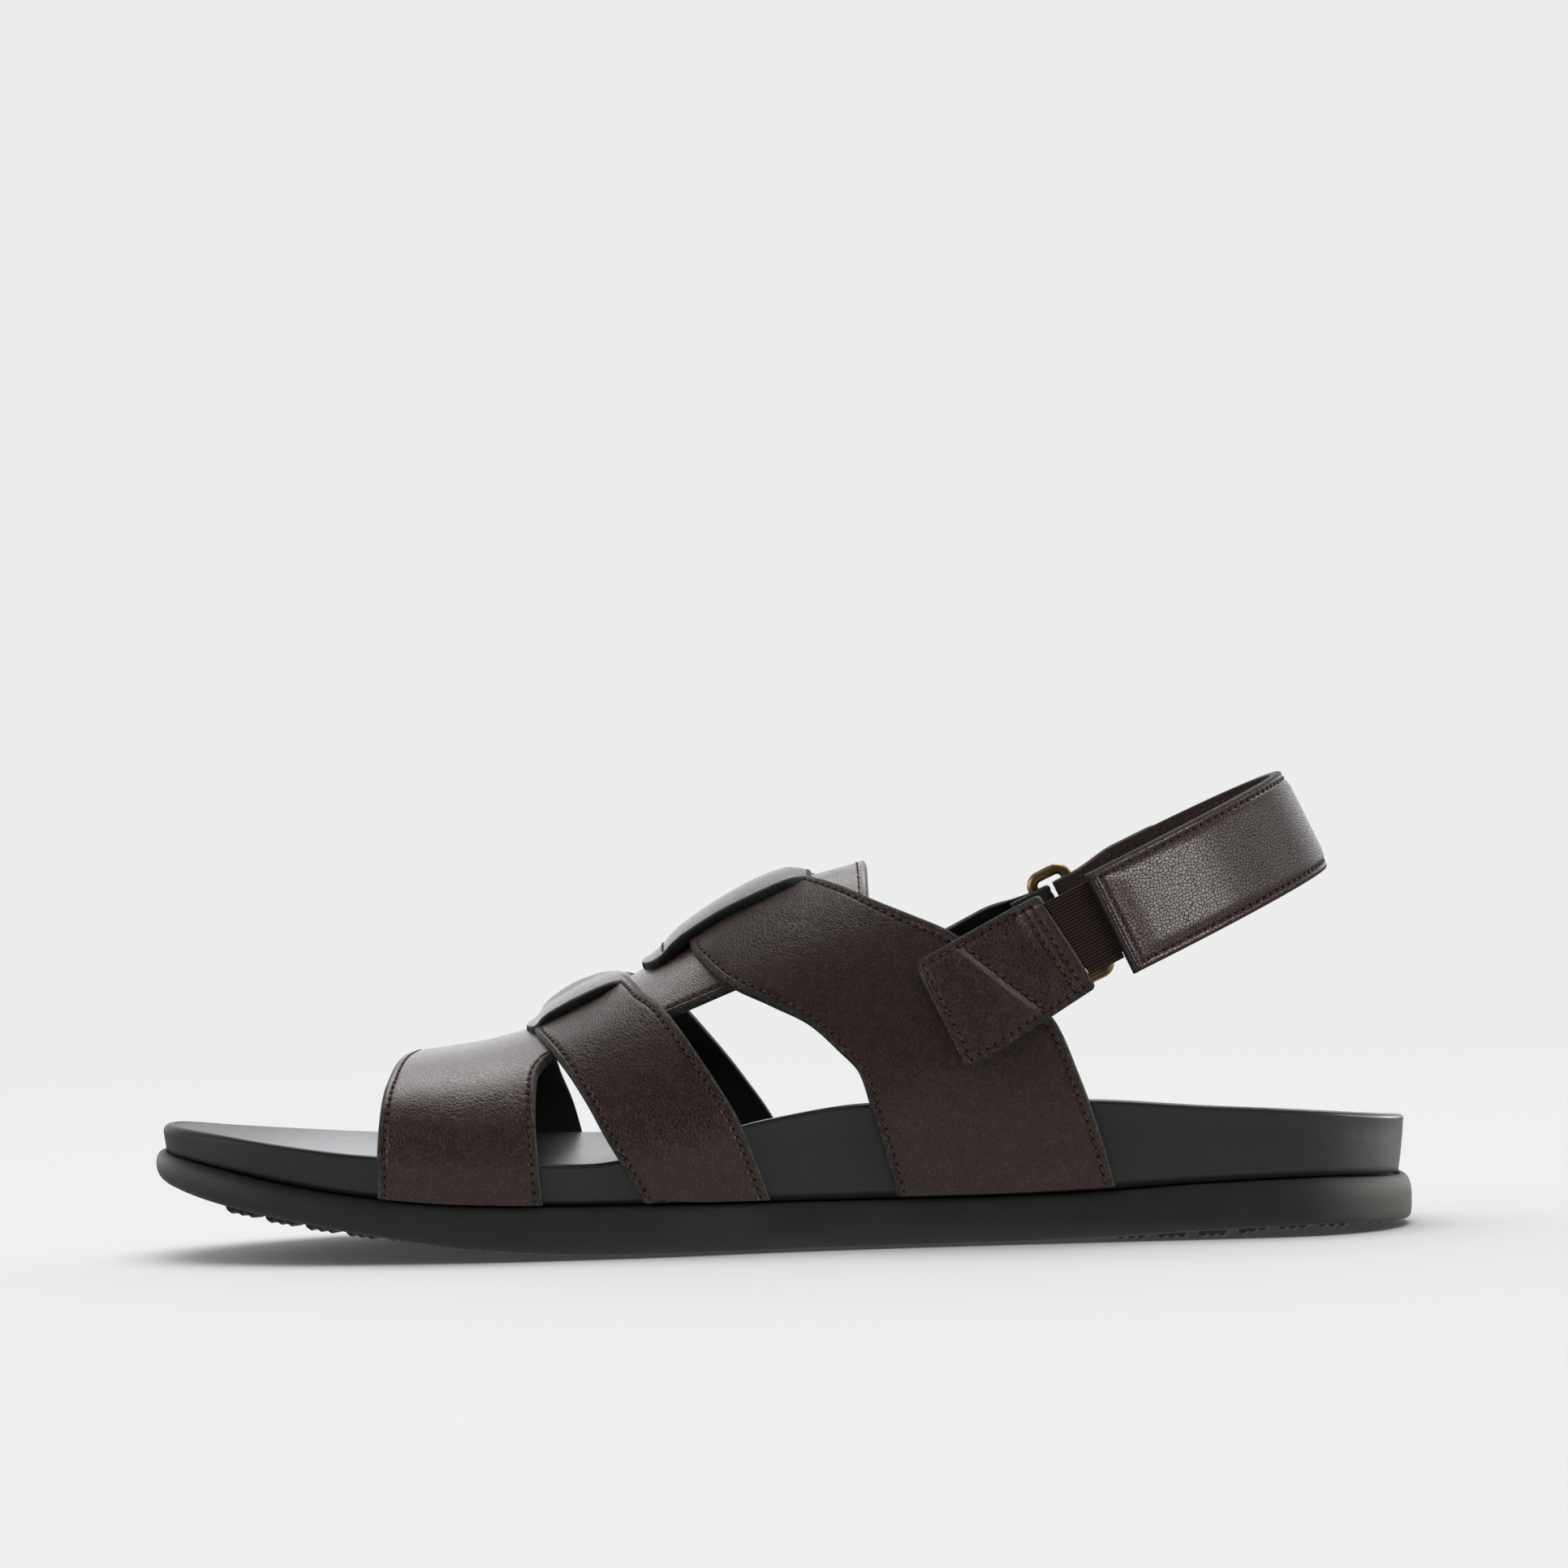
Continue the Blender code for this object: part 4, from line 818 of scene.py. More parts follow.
lugs = {
    "pitch": 9.2 * mm, "length": 6.0 * mm, "flare": 0.5 * mm, "root": 0.6 * mm, "edge": 5.4 * mm, "flatEdge": 9.5 * mm,
    "wave": 2.0 * mm, "flat": 0.4 * mm, "proud": 1.4 * mm, "fields": ((-0.1229, 12), (0.0790, 7)),
    "onFloor": (-0.0945, 0.0785),       # lugs between these places stand on the floor, inside the rim
    "across": (-0.5, -0.38, -0.18, 0.0, 0.18, 0.38, 0.5), "lift": (0.45, 0.0, 0.75, 0.0, 0.75, 0.0, 0.45),
    "endLift": 0.3,
}
footbedLook = {
    # reach, inset in mm, level from the outsole (0) to the rim (1), and how far it is lowered in mm
    "rings": ((0.0, 3.0, 0.0, 0), (1.0, 3.0, 0.0, 0), (1.0, 2.75, 0.12, 0), (1.0, 2.4, 0.3, 0), (1.0, 2.1, 0.5, 0),
              (1.0, 1.9, 0.62, 0), (1.0, 1.60, 1.0, 1.35), (1.0, 1.50, 1.0, 1.0), (1.0, 1.53, 1.0, 0.72),
              (1.0, 1.66, 1.0, 0.42), (1.0, 1.88, 1.0, 0.20), (1.0, 2.2, 1.0, 0.06), (1.0, 2.6, 1.0, 0.01),
              (1.0, 3.3, 1.0, 0.0), (1.0, 4.2, 1.0, 0.0))
             + tuple((reach, 3.8, 1.0, 0.0) for reach in (0.93, 0.86, 0.78, 0.68, 0.55, 0.4, 0.2, 0.0)),
    "toe": ((3.0, 0), (2.4, 0), (2.3, 0), (2.15, 0), (2.0, 0), (1.9, 0), (1.85, 1.9), (1.95, 1.35), (2.15, 0.90),
            (2.5, 0.50), (2.9, 0.22), (3.3, 0.07), (3.7, 0.01), (4.1, 0), (4.5, 0)),      # rounder: inset and drop
    "toeFrom": (-0.118, -0.139), "dishPower": 2.6,
}


def ringMesh(rings, place):     # place(row, turn) puts the rings' points
    around = 400
    mesh, _, _ = gridMesh(around, len(rings) - 1, lambda column, row: place(row, column / around * 2 * math.pi))
    return finishMesh(mesh)


def buildOutsole():
    rings = np.array(outsoleLook["rings"])

    def place(row, turn):
        reach, inset, rise = rings[row].T
        x = -sole["halfLength"] * np.cos(turn)
        soft = 1 + sum((share - 1) * ease(x, start, stop)
                       for share, start, stop in (outsoleLook["toeSoft"], outsoleLook["heelSoft"]))
        plan, _ = ringPoint(turn, reach, inset * mm * np.where((rise > 0) & (rise < 0.4), soft, 1))
        under, seam = valueAt(sole, "under", plan[:, 0]), valueAt(sole, "seam", plan[:, 0])
        return np.column_stack([plan, under + rise * (seam - under)])

    mesh = ringMesh(rings, place)
    with editing(mesh) as bm:
        for first, count in lugs["fields"]:
            for k in range(count):
                addLug(bm, first + k * lugs["pitch"])
    mesh.shade_smooth()
    mesh.set_sharp_from_angle(angle=outsoleLook["sharpAngle"])
    return addPiece("outsoleRubber", mesh, ["rubber"], "rubber", "outsole")


def addLug(bm, x):      # one zigzag rib: a foot with two notches along it, drawn up to a wider root
    middle = float(valueAt(sole, "centre", x))
    raised = not lugs["onFloor"][0] <= x <= lugs["onFloor"][1]
    reach = float(halfWidth(np.array(x))) - lugs["edge" if raised else "flatEdge"]

    def zigzag(share):
        return lugs["wave"] * (0.5 - abs(share * 8 % 2 - 1))

    foot = bmesh.ops.create_grid(bm, x_segments=6, y_segments=48, size=0.5)["verts"]
    for vert in foot:
        column, share = round((vert.co.x + 0.5) * 6), vert.co.y + 0.5
        at = x + zigzag(share) + lugs["across"][column] * lugs["length"]
        tread, under = float(valueAt(sole, "tread", at)), float(valueAt(sole, "under", at))
        level = max(tread, under - lugs["proud"]) if tread > lugs["flat"] else tread
        lift = lugs["lift"][column] + (lugs["endLift"] if share in (0.0, 1.0) else 0.0)
        vert.co = (at, middle + reach * (2 * share - 1), level + lift * mm)
    edges = dict.fromkeys(edge for vert in foot for edge in vert.link_edges if edge.is_boundary)    # in fixed order
    for vert in bmesh.ops.extrude_edge_only(bm, edges=list(edges))["geom"]:
        if isinstance(vert, bmesh.types.BMVert):
            wave = zigzag((vert.co.y - middle + reach) / (2 * reach))
            vert.co.x += math.copysign(lugs["flare"], vert.co.x - x - wave)
            vert.co.z = float(valueAt(sole, "under", vert.co.x)) + lugs["root"]


def buildFootbed():
    rings = np.array(footbedLook["rings"])
    rounder = rings[:, [1, 3]].copy()
    rounder[:len(footbedLook["toe"])] = footbedLook["toe"]

    def place(row, turn):
        toe = ease(-sole["halfLength"] * np.cos(turn), *footbedLook["toeFrom"])[:, None]
        inset, drop = ((rings[row][:, [1, 3]] * (1 - toe) + rounder[row] * toe) * mm).T
        reach, level = rings[row, 0], rings[row, 2]
        plan, side = ringPoint(turn, reach, inset)
        foot = valueAt(sole, "seam", plan[:, 0]) + gap
        height = foot + level * (rimHeight(plan[:, 0], side) - drop - foot)
        dish = valueAt(sole, "dish", plan[:, 0]) * (1 - reach ** footbedLook["dishPower"])
        return np.column_stack([plan, height - np.where(level == 1.0, dish, 0)])

    return addPiece("footbedCover", ringMesh(rings, place), ["wrap"], "footbed_wrap", "footbed")


buildOutsole()
buildFootbed()

# ---- heel strap, its tabs and fastenings: along runs up and back in the strap's own plane, across is its width

strap = {
    "origin": np.array([0.0745, -0.0028, 0.0720]), "tilt": math.radians(25), "halfWidth": 12.5 * mm, "wall": 2.4 * mm,
    "side": 36.2 * mm, "straight": 18.5 * mm, "back": 51.5 * mm, "fullWidth": 12.0 * mm,
    "foldEnd": 30.0 * mm, "foldTip": 9.0 * mm, "inset": 1.8 * mm, "end": 0.7 * mm,
    # its padding rises in from the long edges and from the first end, and comes down before the straight outer side
    "puff": 0.6 * mm, "padEdge": (1.7 * mm, 4.2 * mm), "padStart": (3.7 * mm, 9 * mm), "padStop": (26 * mm, 4 * mm),
    # the first end: dark for this long, then a rolled edge, a ridge and stitched valleys, all in mm
    "roll": 1.4 * mm, "endRoll": (0.75, 0.8, 0.85), "endSeam": 3.3,
    "endForm": ((-0.28, 1.65, 0.22), (0.40, 2.25, 0.38), (-0.20, 3.3, 0.3)),
    "seamStop": 3 * mm, "liningSeam": (14 * mm, 9 * mm), "stitchDepth": 0.1 * mm,
}
ringLook = {"wire": 1.3 * mm, "centre": -5.6 * mm, "halfLength": 4.3 * mm, "halfWidth": 13.6 * mm, "corner": 2.3 * mm,
            "leatherHalf": 11.0 * mm}
turnRadius = ringLook["wire"] + gap + strap["wall"] / 2     # of the leather that is folded round the ring
ringSide = strap["side"] + turnRadius
alongWay = np.array([math.cos(strap["tilt"]), 0, math.sin(strap["tilt"])])
acrossWay = np.array([-math.sin(strap["tilt"]), 0, math.cos(strap["tilt"])])


def strapPoint(along, out, across):
    point = strap["origin"] + np.outer(along, alongWay) + np.outer(across, acrossWay)
    point[:, 1] += out
    return point


# surface(s, across) pushed out along its own normal
def pushed(surface, s, across, height, sign=1):
    step = 0.2 * mm
    normal = unit(np.cross(surface(s + step, across) - surface(s - step, across),
                           surface(s, across + step) - surface(s, across - step))) * sign
    return surface(s, across) + normal * height[:, None], normal


# a seam on a sheet, at a height above its middle surface, or below it on its back
def sewn(surface, s, across, height, sign=1, **ends):
    height = np.full_like(s, height)
    points, normals = pushed(surface, s, across, height, sign)
    return addSeam(points, normals * np.sign(height)[:, None], **ends)


def seamAcross(surface, at, middle, half, height, sign=1):      # a line of stitches right across a sheet
    return sewn(surface, np.full(200, at), middle + np.linspace(-1, 1, 200) * half, height, sign, start=0, end=0)


def rounded(s, total, radius, least):       # share of the thickness left near a sheet's two ends
    return roundedEnd(1 - np.minimum(s, total - s) / radius, least)


def endStations(total, radius, count, between):     # places along a sheet, closer together at its rounded ends
    last = np.linspace(total - radius, total, count)
    return np.unique(np.concatenate([np.linspace(0, radius, count), between, last]))


def heelArc(lift, start=0.0, stop=math.pi, count=121):
    angle = np.linspace(start, stop, count)
    return np.column_stack([strap["straight"] + (strap["back"] + lift - strap["straight"]) * np.sin(angle),
                            -(strap["side"] + lift) * np.cos(angle)])


def pathSurface(path):      # path resampled and smoothed, so that its pieces flow together, and the sheet along it
    spacing = 0.25 * mm
    run = runOf(path)
    path = onPath(path, run, np.linspace(0, run[-1], int(run[-1] / spacing) + 1))
    for _ in range(30):
        path[1:-1] = (path[:-2] + 2 * path[1:-1] + path[2:]) / 4
    run = runOf(path)
    return run, path, lambda s, across: strapPoint(*onPath(path, run, s).T, across)


def buildHeelStrap():
    outer = heelArc(2 * turnRadius, count=241)[::-1]
    outer = outer[(outer[:, 0] > strap["straight"]) & (outer[:, 0] < strap["foldEnd"]) & (outer[:, 1] > 0)]
    angle = np.linspace(0, math.pi / 2, 61)     # the inner side bends round the heel from its very front
    inner = np.column_stack([strap["back"] * np.sin(angle), -strap["side"] * np.cos(angle)])
    rearBar, turn = ringLook["centre"] + ringLook["halfLength"], np.linspace(0, math.pi, 25)
    loopRound = np.column_stack([rearBar - turnRadius * np.sin(turn), ringSide - turnRadius * np.cos(turn)])
    run, path, surface = pathSurface(np.vstack([inner, heelArc(0.0, math.pi / 2, math.pi, 61)[1:], loopRound, outer]))
    total, atLoop = run[-1], run[np.argmin(path[:, 0])]
    afterHeel = run[np.argmin(np.abs(path - (strap["straight"], strap["side"])).sum(1))]
    wall, end = strap["wall"], strap["end"]
    seamHeight = wall / 2 - strap["stitchDepth"]
    loop = section(wall / mm, (strap["inset"] / mm,) * 2, top=0.8, faceSpans=22)

    def halfAt(s):
        along = np.interp(s, run, path[:, 0])
        narrow = (1 - ease(along, 0.0, strap["fullWidth"])) * (ringLook["leatherHalf"] - strap["halfWidth"])
        half = strap["halfWidth"] + np.where(s > afterHeel - 5 * mm, narrow, 0)
        return half * roundedEnd(np.where(s > atLoop, 1 - (strap["foldEnd"] - along) / strap["foldTip"], 0), 0.10)

    def acrossAt(s, share, front, rear):
        half = halfAt(s)
        return -half + share * 2 * half + np.minimum(front, half) - np.minimum(rear, half)

    def grain(s, k):        # place on the flat strap, for its grain
        return np.column_stack([s, acrossAt(s, loop["share"][k], loop["front"][k], loop["rear"][k]), np.zeros_like(s)])

    def endForm(start):
        roll, centre, radius = strap["endRoll"]
        return (roll * np.sqrt(np.clip(1 - ((start - centre) / radius) ** 2, 0, 1))
                + bumps(start, strap["endForm"])) * ease(start, 0, 0.1)

    def place(s, share, front, rear, height):
        across = acrossAt(s, share, front, rear)
        pad = (ease(halfAt(s) - np.abs(across), *strap["padEdge"]) * ease(s, *strap["padStart"])
               * (1 - ease(s, *(afterHeel - back for back in strap["padStop"])))) * strap["puff"]
        high = height > wall / 2
        height = height - wall / 2 + np.where(high, endForm(s / mm) * mm, 0)
        height += np.where(high, pad, -0.5 * pad * (height < 0))
        return pushed(surface, s, across, height * rounded(s, total, end, 0.04))[0]

    stations = np.unique(np.concatenate([
        np.linspace(0, end, 6), np.arange(0.9, 6.5, 0.25) * mm,
        np.linspace(6.5 * mm, total - end, int(total / (0.55 * mm))), np.linspace(total - end, total, 5)]))
    mesh, first = sheetMesh(stations, loop, place, grain)
    zones = zonesOf(mesh)
    zones[stations[first] < strap["roll"]] = 3
    turned = (stations[first] > atLoop) & (zones != 1)
    zones[turned] = 2 - zones[turned]       # past the ring the strap shows its other face
    setZones(mesh, zones)
    finishMesh(mesh)

    holes = []
    outside = np.linspace(strap["endSeam"] * mm, total - strap["seamStop"], 1500)
    lining = np.linspace(strap["liningSeam"][0], atLoop - strap["liningSeam"][1], 1200)
    for side in (-1, 1):
        for s, face in ((outside, np.where(outside < atLoop, 1, -1)), (lining, -1)):
            holes.append(sewn(surface, s, side * (halfAt(s) - strap["inset"]), face * seamHeight))
    holes.append(seamAcross(surface, strap["endSeam"] * mm, 0, strap["halfWidth"] - strap["inset"], seamHeight))
    pinch(mesh, holes)
    piece = addPiece("heelStrapLeather", mesh, ["strapLeather", "strapEdge", "strapLining", "darkEdge"],
                     "strap_leather", "heel_strap")
    buildStitches("heelStrapStitching", "strap_leather")


pads = {"wall": 1.15 * mm, "half": 10.5 * mm, "edge": 0.3 * mm}


# a hook or loop pad, from start to stop along the strap's outer face
def buildPad(name, node, look, start, stop, lift):
    along = np.linspace(start, stop, 60)
    beyond = np.maximum(along - strap["straight"], 0) / (strap["back"] + lift - strap["straight"])
    run, _, surface = pathSurface(np.column_stack([along, (strap["side"] + lift) * np.sqrt(1 - beyond ** 2)])[::-1])
    total, edge = run[-1], pads["edge"]

    def place(s, share, front, rear, height):
        across = sheetSpot(-pads["half"], pads["half"], share, front, rear)
        return pushed(surface, s, across, (height - pads["wall"] / 2) * rounded(s, total, edge, 0.06))[0]

    stations = endStations(total, edge, 4, np.linspace(edge, total - edge, int(total / (0.5 * mm))))
    mesh, _ = sheetMesh(stations, section(pads["wall"] / mm, top=edge / mm, bottom=edge / mm, faceSpans=14), place)
    addPiece(name, finishMesh(mesh), [look], "pad", node)


def buildRing():
    corners = []
    for end, side in ((1, 1), (-1, 1), (-1, -1), (1, -1)):
        angles = np.linspace(0, math.pi / 2, 12)[::end * side]
        corners.append(np.column_stack([
            end * (ringLook["halfLength"] + ringLook["corner"] * (np.cos(angles) - 1)),
            side * (ringLook["halfWidth"] + ringLook["corner"] * (np.sin(angles) - 1))]))
    path = np.vstack(corners + [corners[0][:1]])
    run = runOf(path)
    path = onPath(path, run, np.linspace(0, run[-1], 161)[:-1])
    ahead = unit(np.roll(path, -1, 0) - np.roll(path, 1, 0))

    def place(column, row):
        k, angle = column % 160, row / 20 * 2 * math.pi
        side = np.column_stack([ahead[k, 1], -ahead[k, 0]])
        spot = path[k] + side * (ringLook["wire"] * np.cos(angle))[:, None]
        return strapPoint(ringLook["centre"] + spot[:, 0], ringSide + ringLook["wire"] * np.sin(angle), spot[:, 1])

    mesh, _, _ = gridMesh(160, 20, place)
    addPiece("ringBrass", finishMesh(mesh), ["brass"], "brass", "ring")


# ---- tabs: each lies on the instep band and reaches back to the elastic or the ring

tab = {
    "wall": 2.2 * mm, "rearOut": 2.6 * mm, "clear": 0.9 * mm, "front": -43.4 * mm, "rear": -10.0 * mm, "lean": -0.10,
    "bend": -19.0 * mm, "half": (13.5 * mm, 12.3 * mm), "rise": (-1.7 * mm, 1.0 * mm), "end": 0.45 * mm,
    "returnEnd": -16.5 * mm, "narrows": -24.0 * mm, "corner": 2.6 * mm, "inset": 1.8 * mm, "rearSeams": (2.6, 4.6),
    "ridgeFrom": (0.35, 0.93), "ridgeTo": (0.62, 0.10), "ridgeHeight": 0.75,
}


# how far from the strap's middle plane a tab rests on the lifted form, on a grid over x and z
def restingGrid(side):
    xs, zs = np.linspace(0.020, 0.078, 117), np.linspace(0.030, 0.098, 137)
    v = side * np.linspace(0.999, 0.05, 260)
    lift = np.full_like(v, leatherWall * mm + tab["wall"] / 2 + tab["clear"])
    outs = [np.interp(zs, formPoint(at, v)[:, 2], np.abs(onForm(at, v, lift)[:, 1] - strap["origin"][1]))
            for at in (np.full_like(v, x) for x in xs)]
    return xs, zs, np.array(outs)


restings = {side: restingGrid(side) for side in (-1, 1)}


def restingOut(x, z, side):
    xs, zs, outs = restings[side]
    a = np.clip((x - xs[0]) / (xs[1] - xs[0]), 0, len(xs) - 1.001)
    b = np.clip((z - zs[0]) / (zs[1] - zs[0]), 0, len(zs) - 1.001)
    i, j = a.astype(int), b.astype(int)
    a, b = a - i, b - j
    return (outs[i, j] * (1 - a) * (1 - b) + outs[i + 1, j] * a * (1 - b) + outs[i, j + 1] * (1 - a) * b
            + outs[i + 1, j + 1] * a * b)


def tabShape(along):        # where its middle lies across, and half its width
    share = (along - tab["front"]) / (tab["rear"] - tab["front"])
    return [tab[name][0] + share * (tab[name][1] - tab[name][0]) for name in ("rise", "half")]


def tabOut(along, across, side, rearOut):
    spot = strapPoint(along, np.zeros_like(along), across)
    resting = restingOut(spot[:, 0], spot[:, 2], side)
    return side * (resting + ease(along, tab["bend"], tab["rear"]) * (rearOut - resting))


def roundOff(distance, radius):     # how far a rounded corner draws the long edges in
    return radius - np.sqrt(np.maximum(radius ** 2 - np.maximum(radius - distance, 0) ** 2, 0))


# a tab along surface(s, across); relief stands proud of its face; seams are places of lines right across
def buildTab(name, node, surface, total, between, shape, sides, seams, sign, relief=None, corners=None, extra=None):
    inset, wall = tab["inset"], tab["wall"]
    seamHeight = wall / 2 - 0.08 * mm

    def place(s, share, front, rear, height):
        middle, half = shape(s)
        if corners:
            half = half - corners(s)
        across = sheetSpot(middle - half, middle + half, share, front, rear)
        proud = np.where(height > wall / 2, relief(s, across) * mm, 0) if relief else 0
        return pushed(surface, s, across, (height - wall / 2 + proud) * rounded(s, total, tab["end"], 0.25), sign)[0]

    stations = endStations(total, tab["end"], 5, between)
    mesh, first = sheetMesh(stations, section(wall / mm, (inset / mm,) * 2, faceSpans=22 if relief else 20), place)
    if relief:
        zones, start = zonesOf(mesh), stations[first]
        zones[(start < 0.25 * mm) | (start > total - 0.3 * mm)] = 1
        setZones(mesh, zones)
    finishMesh(mesh)
    holes = []
    middle, half = shape(sides)
    for edge in (-1, 1):
        holes.append(sewn(surface, sides, middle + edge * (half - inset), seamHeight, sign, start=0, end=0))
    for at in seams:
        middle, half = shape(np.full(200, at))
        holes.append(seamAcross(surface, at, middle, half - inset, seamHeight, sign))
    if extra:
        holes.append(sewn(surface, *extra, seamHeight, sign, start=0, end=0))
    pinch(mesh, holes)
    addPiece(name + "Leather", mesh, ["leather", "edge", "lining"], "leather", node)
    buildStitches(name + "Stitching", "leather")


def buildInnerTab():
    length = tab["rear"] - tab["front"]
    (u0, w0), (u1, w1) = tab["ridgeFrom"], tab["ridgeTo"]

    def surface(u, across):         # u in metres along the tab from its front edge
        along = tab["front"] + u + tab["lean"] * u / length * across
        return strapPoint(along, tabOut(along, across, -1, strap["side"] + tab["rearOut"]), across)

    def shape(u):
        return tabShape(tab["front"] + u)

    def ridgeAt(w):
        return (u0 + (w0 - w) / (w0 - w1) * (u1 - u0)) * length

    rearSeams = [length - back * mm for back in tab["rearSeams"]]
    valleys = [(-0.2, tab["inset"], 0.4 * mm)] + [(-0.18, at, 0.35 * mm) for at in rearSeams]

    # the fold under the leather is a soft step with a stitched valley behind it; each seam lies in a valley too
    def relief(u, across):
        middle, half = shape(u)
        w = (across - middle + half) / (2 * half)
        ahead = (u - ridgeAt(w)) * 0.93 / mm
        inside = ease(w, 0.04, 0.16) * (1 - ease(w, 0.86, 0.97))
        step = np.exp(-np.clip(-ahead - 1.7, 0, None) / 2.2) * ease(-ahead, 0.1, 2.2)
        return inside * (tab["ridgeHeight"] * step - 0.28 * hump(ahead, 0.25, 0.4)) + bumps(u, valleys)

    def corners(u):
        return roundOff(u, tab["corner"]) + roundOff(length - u, tab["corner"] / 2)

    w = np.linspace(w0 - 0.04, w1 + 0.01, 200)
    u = ridgeAt(w) + 0.3 * mm
    middle, half = shape(u)
    buildTab("innerTab", "tab_medial", surface, length, np.arange(0.6, length / mm - 0.5, 0.3) * mm, shape,
             np.linspace(tab["inset"], rearSeams[0], 200), [tab["inset"], *rearSeams], 1, relief, corners,
             (u, middle - half + w * 2 * half))


def buildOuterTab():        # it is folded round the ring's front bar, and its end lies behind it
    frontBar = ringLook["centre"] - ringLook["halfLength"]
    outside = ringSide + turnRadius
    reach, turnLength = frontBar - tab["front"], math.pi * turnRadius
    total = reach + turnLength + frontBar - tab["returnEnd"]

    def surface(s, across):
        angle = np.clip((s - reach) / turnRadius, 0, math.pi)
        along = np.where(s <= reach, tab["front"] + s, frontBar + turnRadius * np.sin(angle))
        along = along - np.maximum(s - reach - turnLength, 0)
        blend = ease(s, reach - 6 * mm, reach)
        resting = tabOut(np.minimum(along, frontBar), across, 1, outside) * (1 - blend) + outside * blend
        return strapPoint(along, np.where(s <= reach, resting, ringSide + turnRadius * np.cos(angle)), across)

    def shape(s):
        along = tab["front"] + np.minimum(s, reach)
        middle, half = tabShape(along)
        narrow = ease(along, tab["narrows"], frontBar)
        return middle * (1 - narrow), half + narrow * (ringLook["leatherHalf"] - half)

    buildTab("outerTab", "tab_lateral", surface, total, np.linspace(0.6 * mm, total - 0.5 * mm, 120), shape,
             np.linspace(tab["inset"], reach - 3 * mm, 300), [tab["inset"], 17.0 * mm, reach - 3 * mm], -1)


elastic = {
    "wall": 1.2 * mm, "half": 9.6 * mm, "rise": 1.4 * mm, "gap": 0.15 * mm,
    "rolls": ((0.30, 0.9, 0.8), (-0.22, 2.1, 0.35), (0.12, 18.8, 0.5)),     # bumps along it, in mm from its lower edge
    "weaveLength": 9.0,     # mm of weave from the tab to the strap
}


def buildElastic():
    loop = section(elastic["wall"] / mm, top=0.5, bottom=0.5, faceSpans=40)

    def place(u, share, front, rear, height):       # u from 0 at the tab to 1 at the strap
        fromLow = sheetSpot(0, 2 * elastic["half"], share, front, rear)
        across = elastic["rise"] - elastic["half"] + fromLow
        start = tab["rear"] + tab["lean"] * across + elastic["gap"]
        roll = np.where(height > elastic["wall"] / 4, bumps(fromLow / mm, elastic["rolls"]), 0) * mm
        out = strap["side"] + tab["rearOut"] * (1 - u) + height - elastic["wall"] / 2 + roll
        return strapPoint(start + u * (-elastic["gap"] - start), -out, across)

    def weave(u, k):
        across = sheetSpot(-elastic["half"], elastic["half"], loop["share"][k], loop["front"][k], loop["rear"][k])
        return np.column_stack([u * elastic["weaveLength"], across / mm, np.zeros_like(u)])

    mesh, _ = sheetMesh(np.linspace(0, 1, 40), loop, place, weave)
    addPiece("elasticBand", finishMesh(mesh), ["weave"] * 3, "elastic", "elastic_gore")


buildHeelStrap()
firstPad = strap["wall"] / 2 + gap + pads["wall"] / 2
buildPad("loopTape", "loop_pad", "loops", 4.5 * mm, 27.0 * mm, firstPad)
buildPad("hookTape", "hook_pad", "hooks", 8.5 * mm, 25.5 * mm, firstPad + gap + pads["wall"])
buildRing()
buildInnerTab()
buildOuterTab()
buildElastic()

# ---- studio: pale floor, soft overhead light, the photograph's camera

studio = {
    "paper": (0.845, 0.845, 0.845, 1.0), "floorAlbedo": (0.82, 0.82, 0.82, 1.0), "floorGlow": 0.03,
    "skyBack": 1.25, "skyFront": 0.05, "skyTop": 0.20, "skyColour": (0.95, 0.962, 1.0, 1.0),
    "bounce": {"near": 0.45, "front": 0.30, "back": 0.25, "far": 0.10},     # what the shoe sees of the floor
}
white, warm, warmRim = (1.0, 1.0, 1.0), (1.0, 0.96, 0.86), (1.0, 0.95, 0.84)
lamps = {
    # strength, angle, degrees round from the camera's side towards the heel, degrees up, colour, does it reach
    # these pieces alone or all others, and the pieces
    "key": (1.55, 40.0, 158.0, 60.0, white, False, "floor", "instepBand"),
    "instepTop": (0.95, 32.0, 156.0, 68.0, white, True, "instepBand"),
    "topSide": (1.2, 44.0, 192.0, 60.0, white, True, "toeBand", "frontStrip", "rearStrip"),
    "spineTop": (1.7, 44.0, 192.0, 60.0, white, True, "spine"),
    "middleTop": (0.45, 44.0, 186.0, 60.0, white, True, "middleBand"),
    "strapSide": (3.1, 68.0, 14.0, 5.0, white, True, "heelStrapLeather"),
    "strapRear": (0.6, 60.0, 72.0, 14.0, white, True, "heelStrapLeather"),
    "heelSide": (2.2, 36.0, 84.0, 9.0, white, False, "heelStrapLeather", "floor"),
    "foldSide": (0.7, 26.0, 66.0, 48.0, white, True, "innerTabLeather", "innerTabStitching"),
    "footbedToe": (0.75, 36.0, 290.0, 8.0, white, True, "footbedCover"),
    "toeSide": (1.6, 36.0, 290.0, 8.0, white, False, "floor", "footbedCover"),
    "heelRim": (3.0, 30.0, 122.0, 1.0, warmRim, True, "footbedCover"),
    "outsoleRim": (3.4, 76.0, 112.0, 6.0, warmRim, True, "outsoleRubber"),
    "toeRim": (1.2, 44.0, 232.0, 8.0, warm, True, "outsoleRubber"),
    "rim": (0.25, 40.0, 200.0, 14.0, white, False, "floor"),
    "overFloor": (2.0, 60.0, 180.0, 86.0, white, True, "floor"),
    "toeFloor": (0.75, 60.0, 265.0, 32.0, white, True, "floor"),
}
cameraLook = {"lens": 138.987, "at": (-0.0000546, -1.407908, 0.120359), "tilt": 0.61397, "roll": 1.4853, "pan": 0.0789}


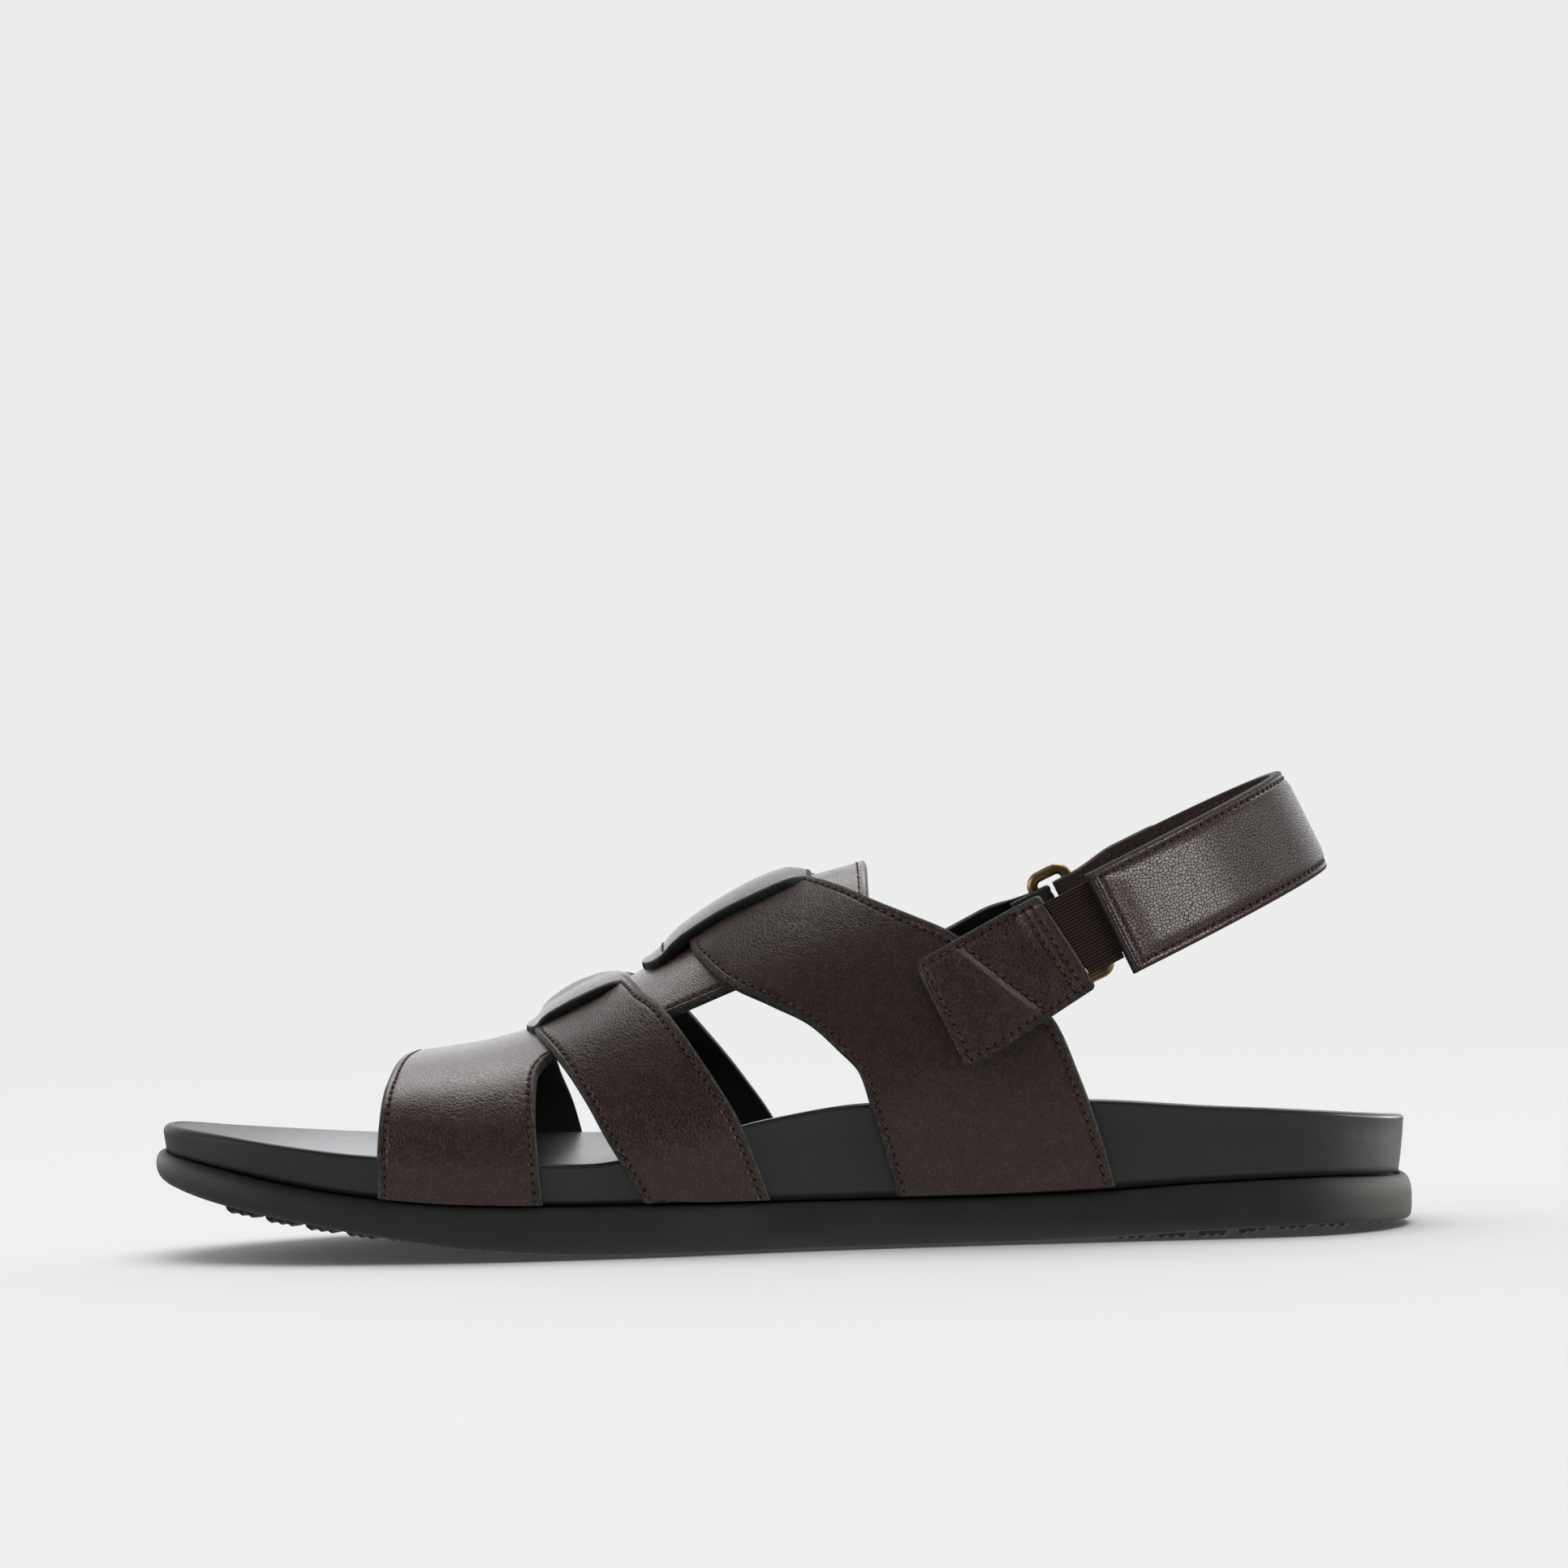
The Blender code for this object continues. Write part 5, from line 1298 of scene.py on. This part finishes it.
def show(name, data):
    thing = bpy.data.objects.new(name, data)
    bpy.context.scene.collection.objects.link(thing)
    return thing


def buildFloor():
    mesh = bpy.data.meshes.new("floor")
    with editing(mesh) as bm:
        bmesh.ops.create_circle(bm, cap_ends=True, segments=96, radius=30.0)
    finish = Finish("paperFloor", Specular_IOR_Level=0.0, Roughness=1.0, Base_Color=studio["floorAlbedo"])
    distance = finish.node("ShaderNodeVectorMath", {0: finish.place}, "Value", operation="LENGTH")
    bounce = studio["bounce"]
    middle = finish.between(finish.axis(finish.place, "Y"), 0.05, 0.35, bounce["front"], bounce["back"])
    ring = finish.between(distance, 0.18, 0.30) * finish.between(distance, 0.8, 1.3, 1.0, 0.0)
    edges = finish.between(distance, 0.3, 0.9, bounce["near"], bounce["far"])
    far = finish.between(distance, 0.25, 0.9, studio["floorGlow"], 1.0)
    glow = finish.node("ShaderNodeEmission", {"Color": studio["paper"], "Strength": 1.0})
    dim = finish.node("ShaderNodeEmission", {"Color": (1.0,) * 4, "Strength": ring * middle + (1 - ring) * edges})
    matte = Wire(finish, finish.shader.outputs[0])
    paper = finish.node("ShaderNodeMixShader", {0: far, 1: matte, 2: glow})
    finish.give(finish.toCamera(paper, dim), finish.tree.nodes["Material Output"].inputs["Surface"])
    mesh.materials.append(finish.material)
    show("floor", mesh)


def buildSky():         # the camera sees plain paper, the shoe sees a dim room with a bright band behind it
    world = bpy.data.worlds.new("studio")
    bpy.context.scene.world = world
    world.use_nodes = True
    world.node_tree.nodes.clear()
    sky = Shading(world.node_tree)
    way = sky.node("ShaderNodeTexCoord", out="Generated")
    height, front = sky.axis(way, "Z"), studio["skyFront"]
    back = sky.between(sky.axis(way, "Y"), 0.0, 0.8, 0.0, studio["skyBack"])
    band = sky.between(height, 0.35, 0.75, 1.0, 0.15)
    top = sky.between(height, 0.45, 0.95, front, front + studio["skyTop"])
    lit = sky.node("ShaderNodeBackground", {"Color": studio["skyColour"], "Strength": back * band + top})
    seen = sky.node("ShaderNodeBackground", {"Color": studio["paper"]})
    sky.give(sky.toCamera(seen, lit), sky.tree.nodes.new("ShaderNodeOutputWorld").inputs["Surface"])


def buildLights():
    for name, (strength, angle, aside, above, tint, alone, *pieces) in lamps.items():
        lamp = bpy.data.lights.new(name, "SUN")
        lamp.energy, lamp.angle, lamp.color = strength, math.radians(angle), tint
        aside, above = math.radians(aside), math.radians(above)
        way = Vector((math.sin(aside) * math.cos(above), -math.cos(aside) * math.cos(above), math.sin(above)))
        light = show(name, lamp)
        light.rotation_mode = "QUATERNION"
        light.rotation_quaternion = way.to_track_quat("Z", "Y")
        reached = bpy.data.collections.new(name + "Reach")      # flags round the lamp
        for piece in pieces:
            reached.objects.link(bpy.data.objects[piece])
        for entry in reached.collection_objects:
            entry.light_linking.link_state = "INCLUDE" if alone else "EXCLUDE"
        light.light_linking.receiver_collection = reached


def buildCamera():
    data = bpy.data.cameras.new("camera")
    data.sensor_width, data.lens = 36.0, cameraLook["lens"]
    tilt, roll, pan = (math.radians(cameraLook[name]) for name in ("tilt", "roll", "pan"))
    ahead = Vector((math.sin(pan) * math.cos(tilt), math.cos(pan) * math.cos(tilt), -math.sin(tilt)))
    right = Vector((math.cos(pan), -math.sin(pan), 0))
    up = right.cross(ahead)
    right, up = right * math.cos(roll) - up * math.sin(roll), right * math.sin(roll) + up * math.cos(roll)
    camera = show("camera", data)
    camera.matrix_world = Matrix.Translation(cameraLook["at"]) @ Matrix((right, up, -ahead)).transposed().to_4x4()
    bpy.context.scene.camera = camera


buildFloor()
buildSky()
buildLights()
buildCamera()
bpy.context.scene.view_settings.view_transform = "Standard"
bpy.context.view_layer.update()

print("studio ready")
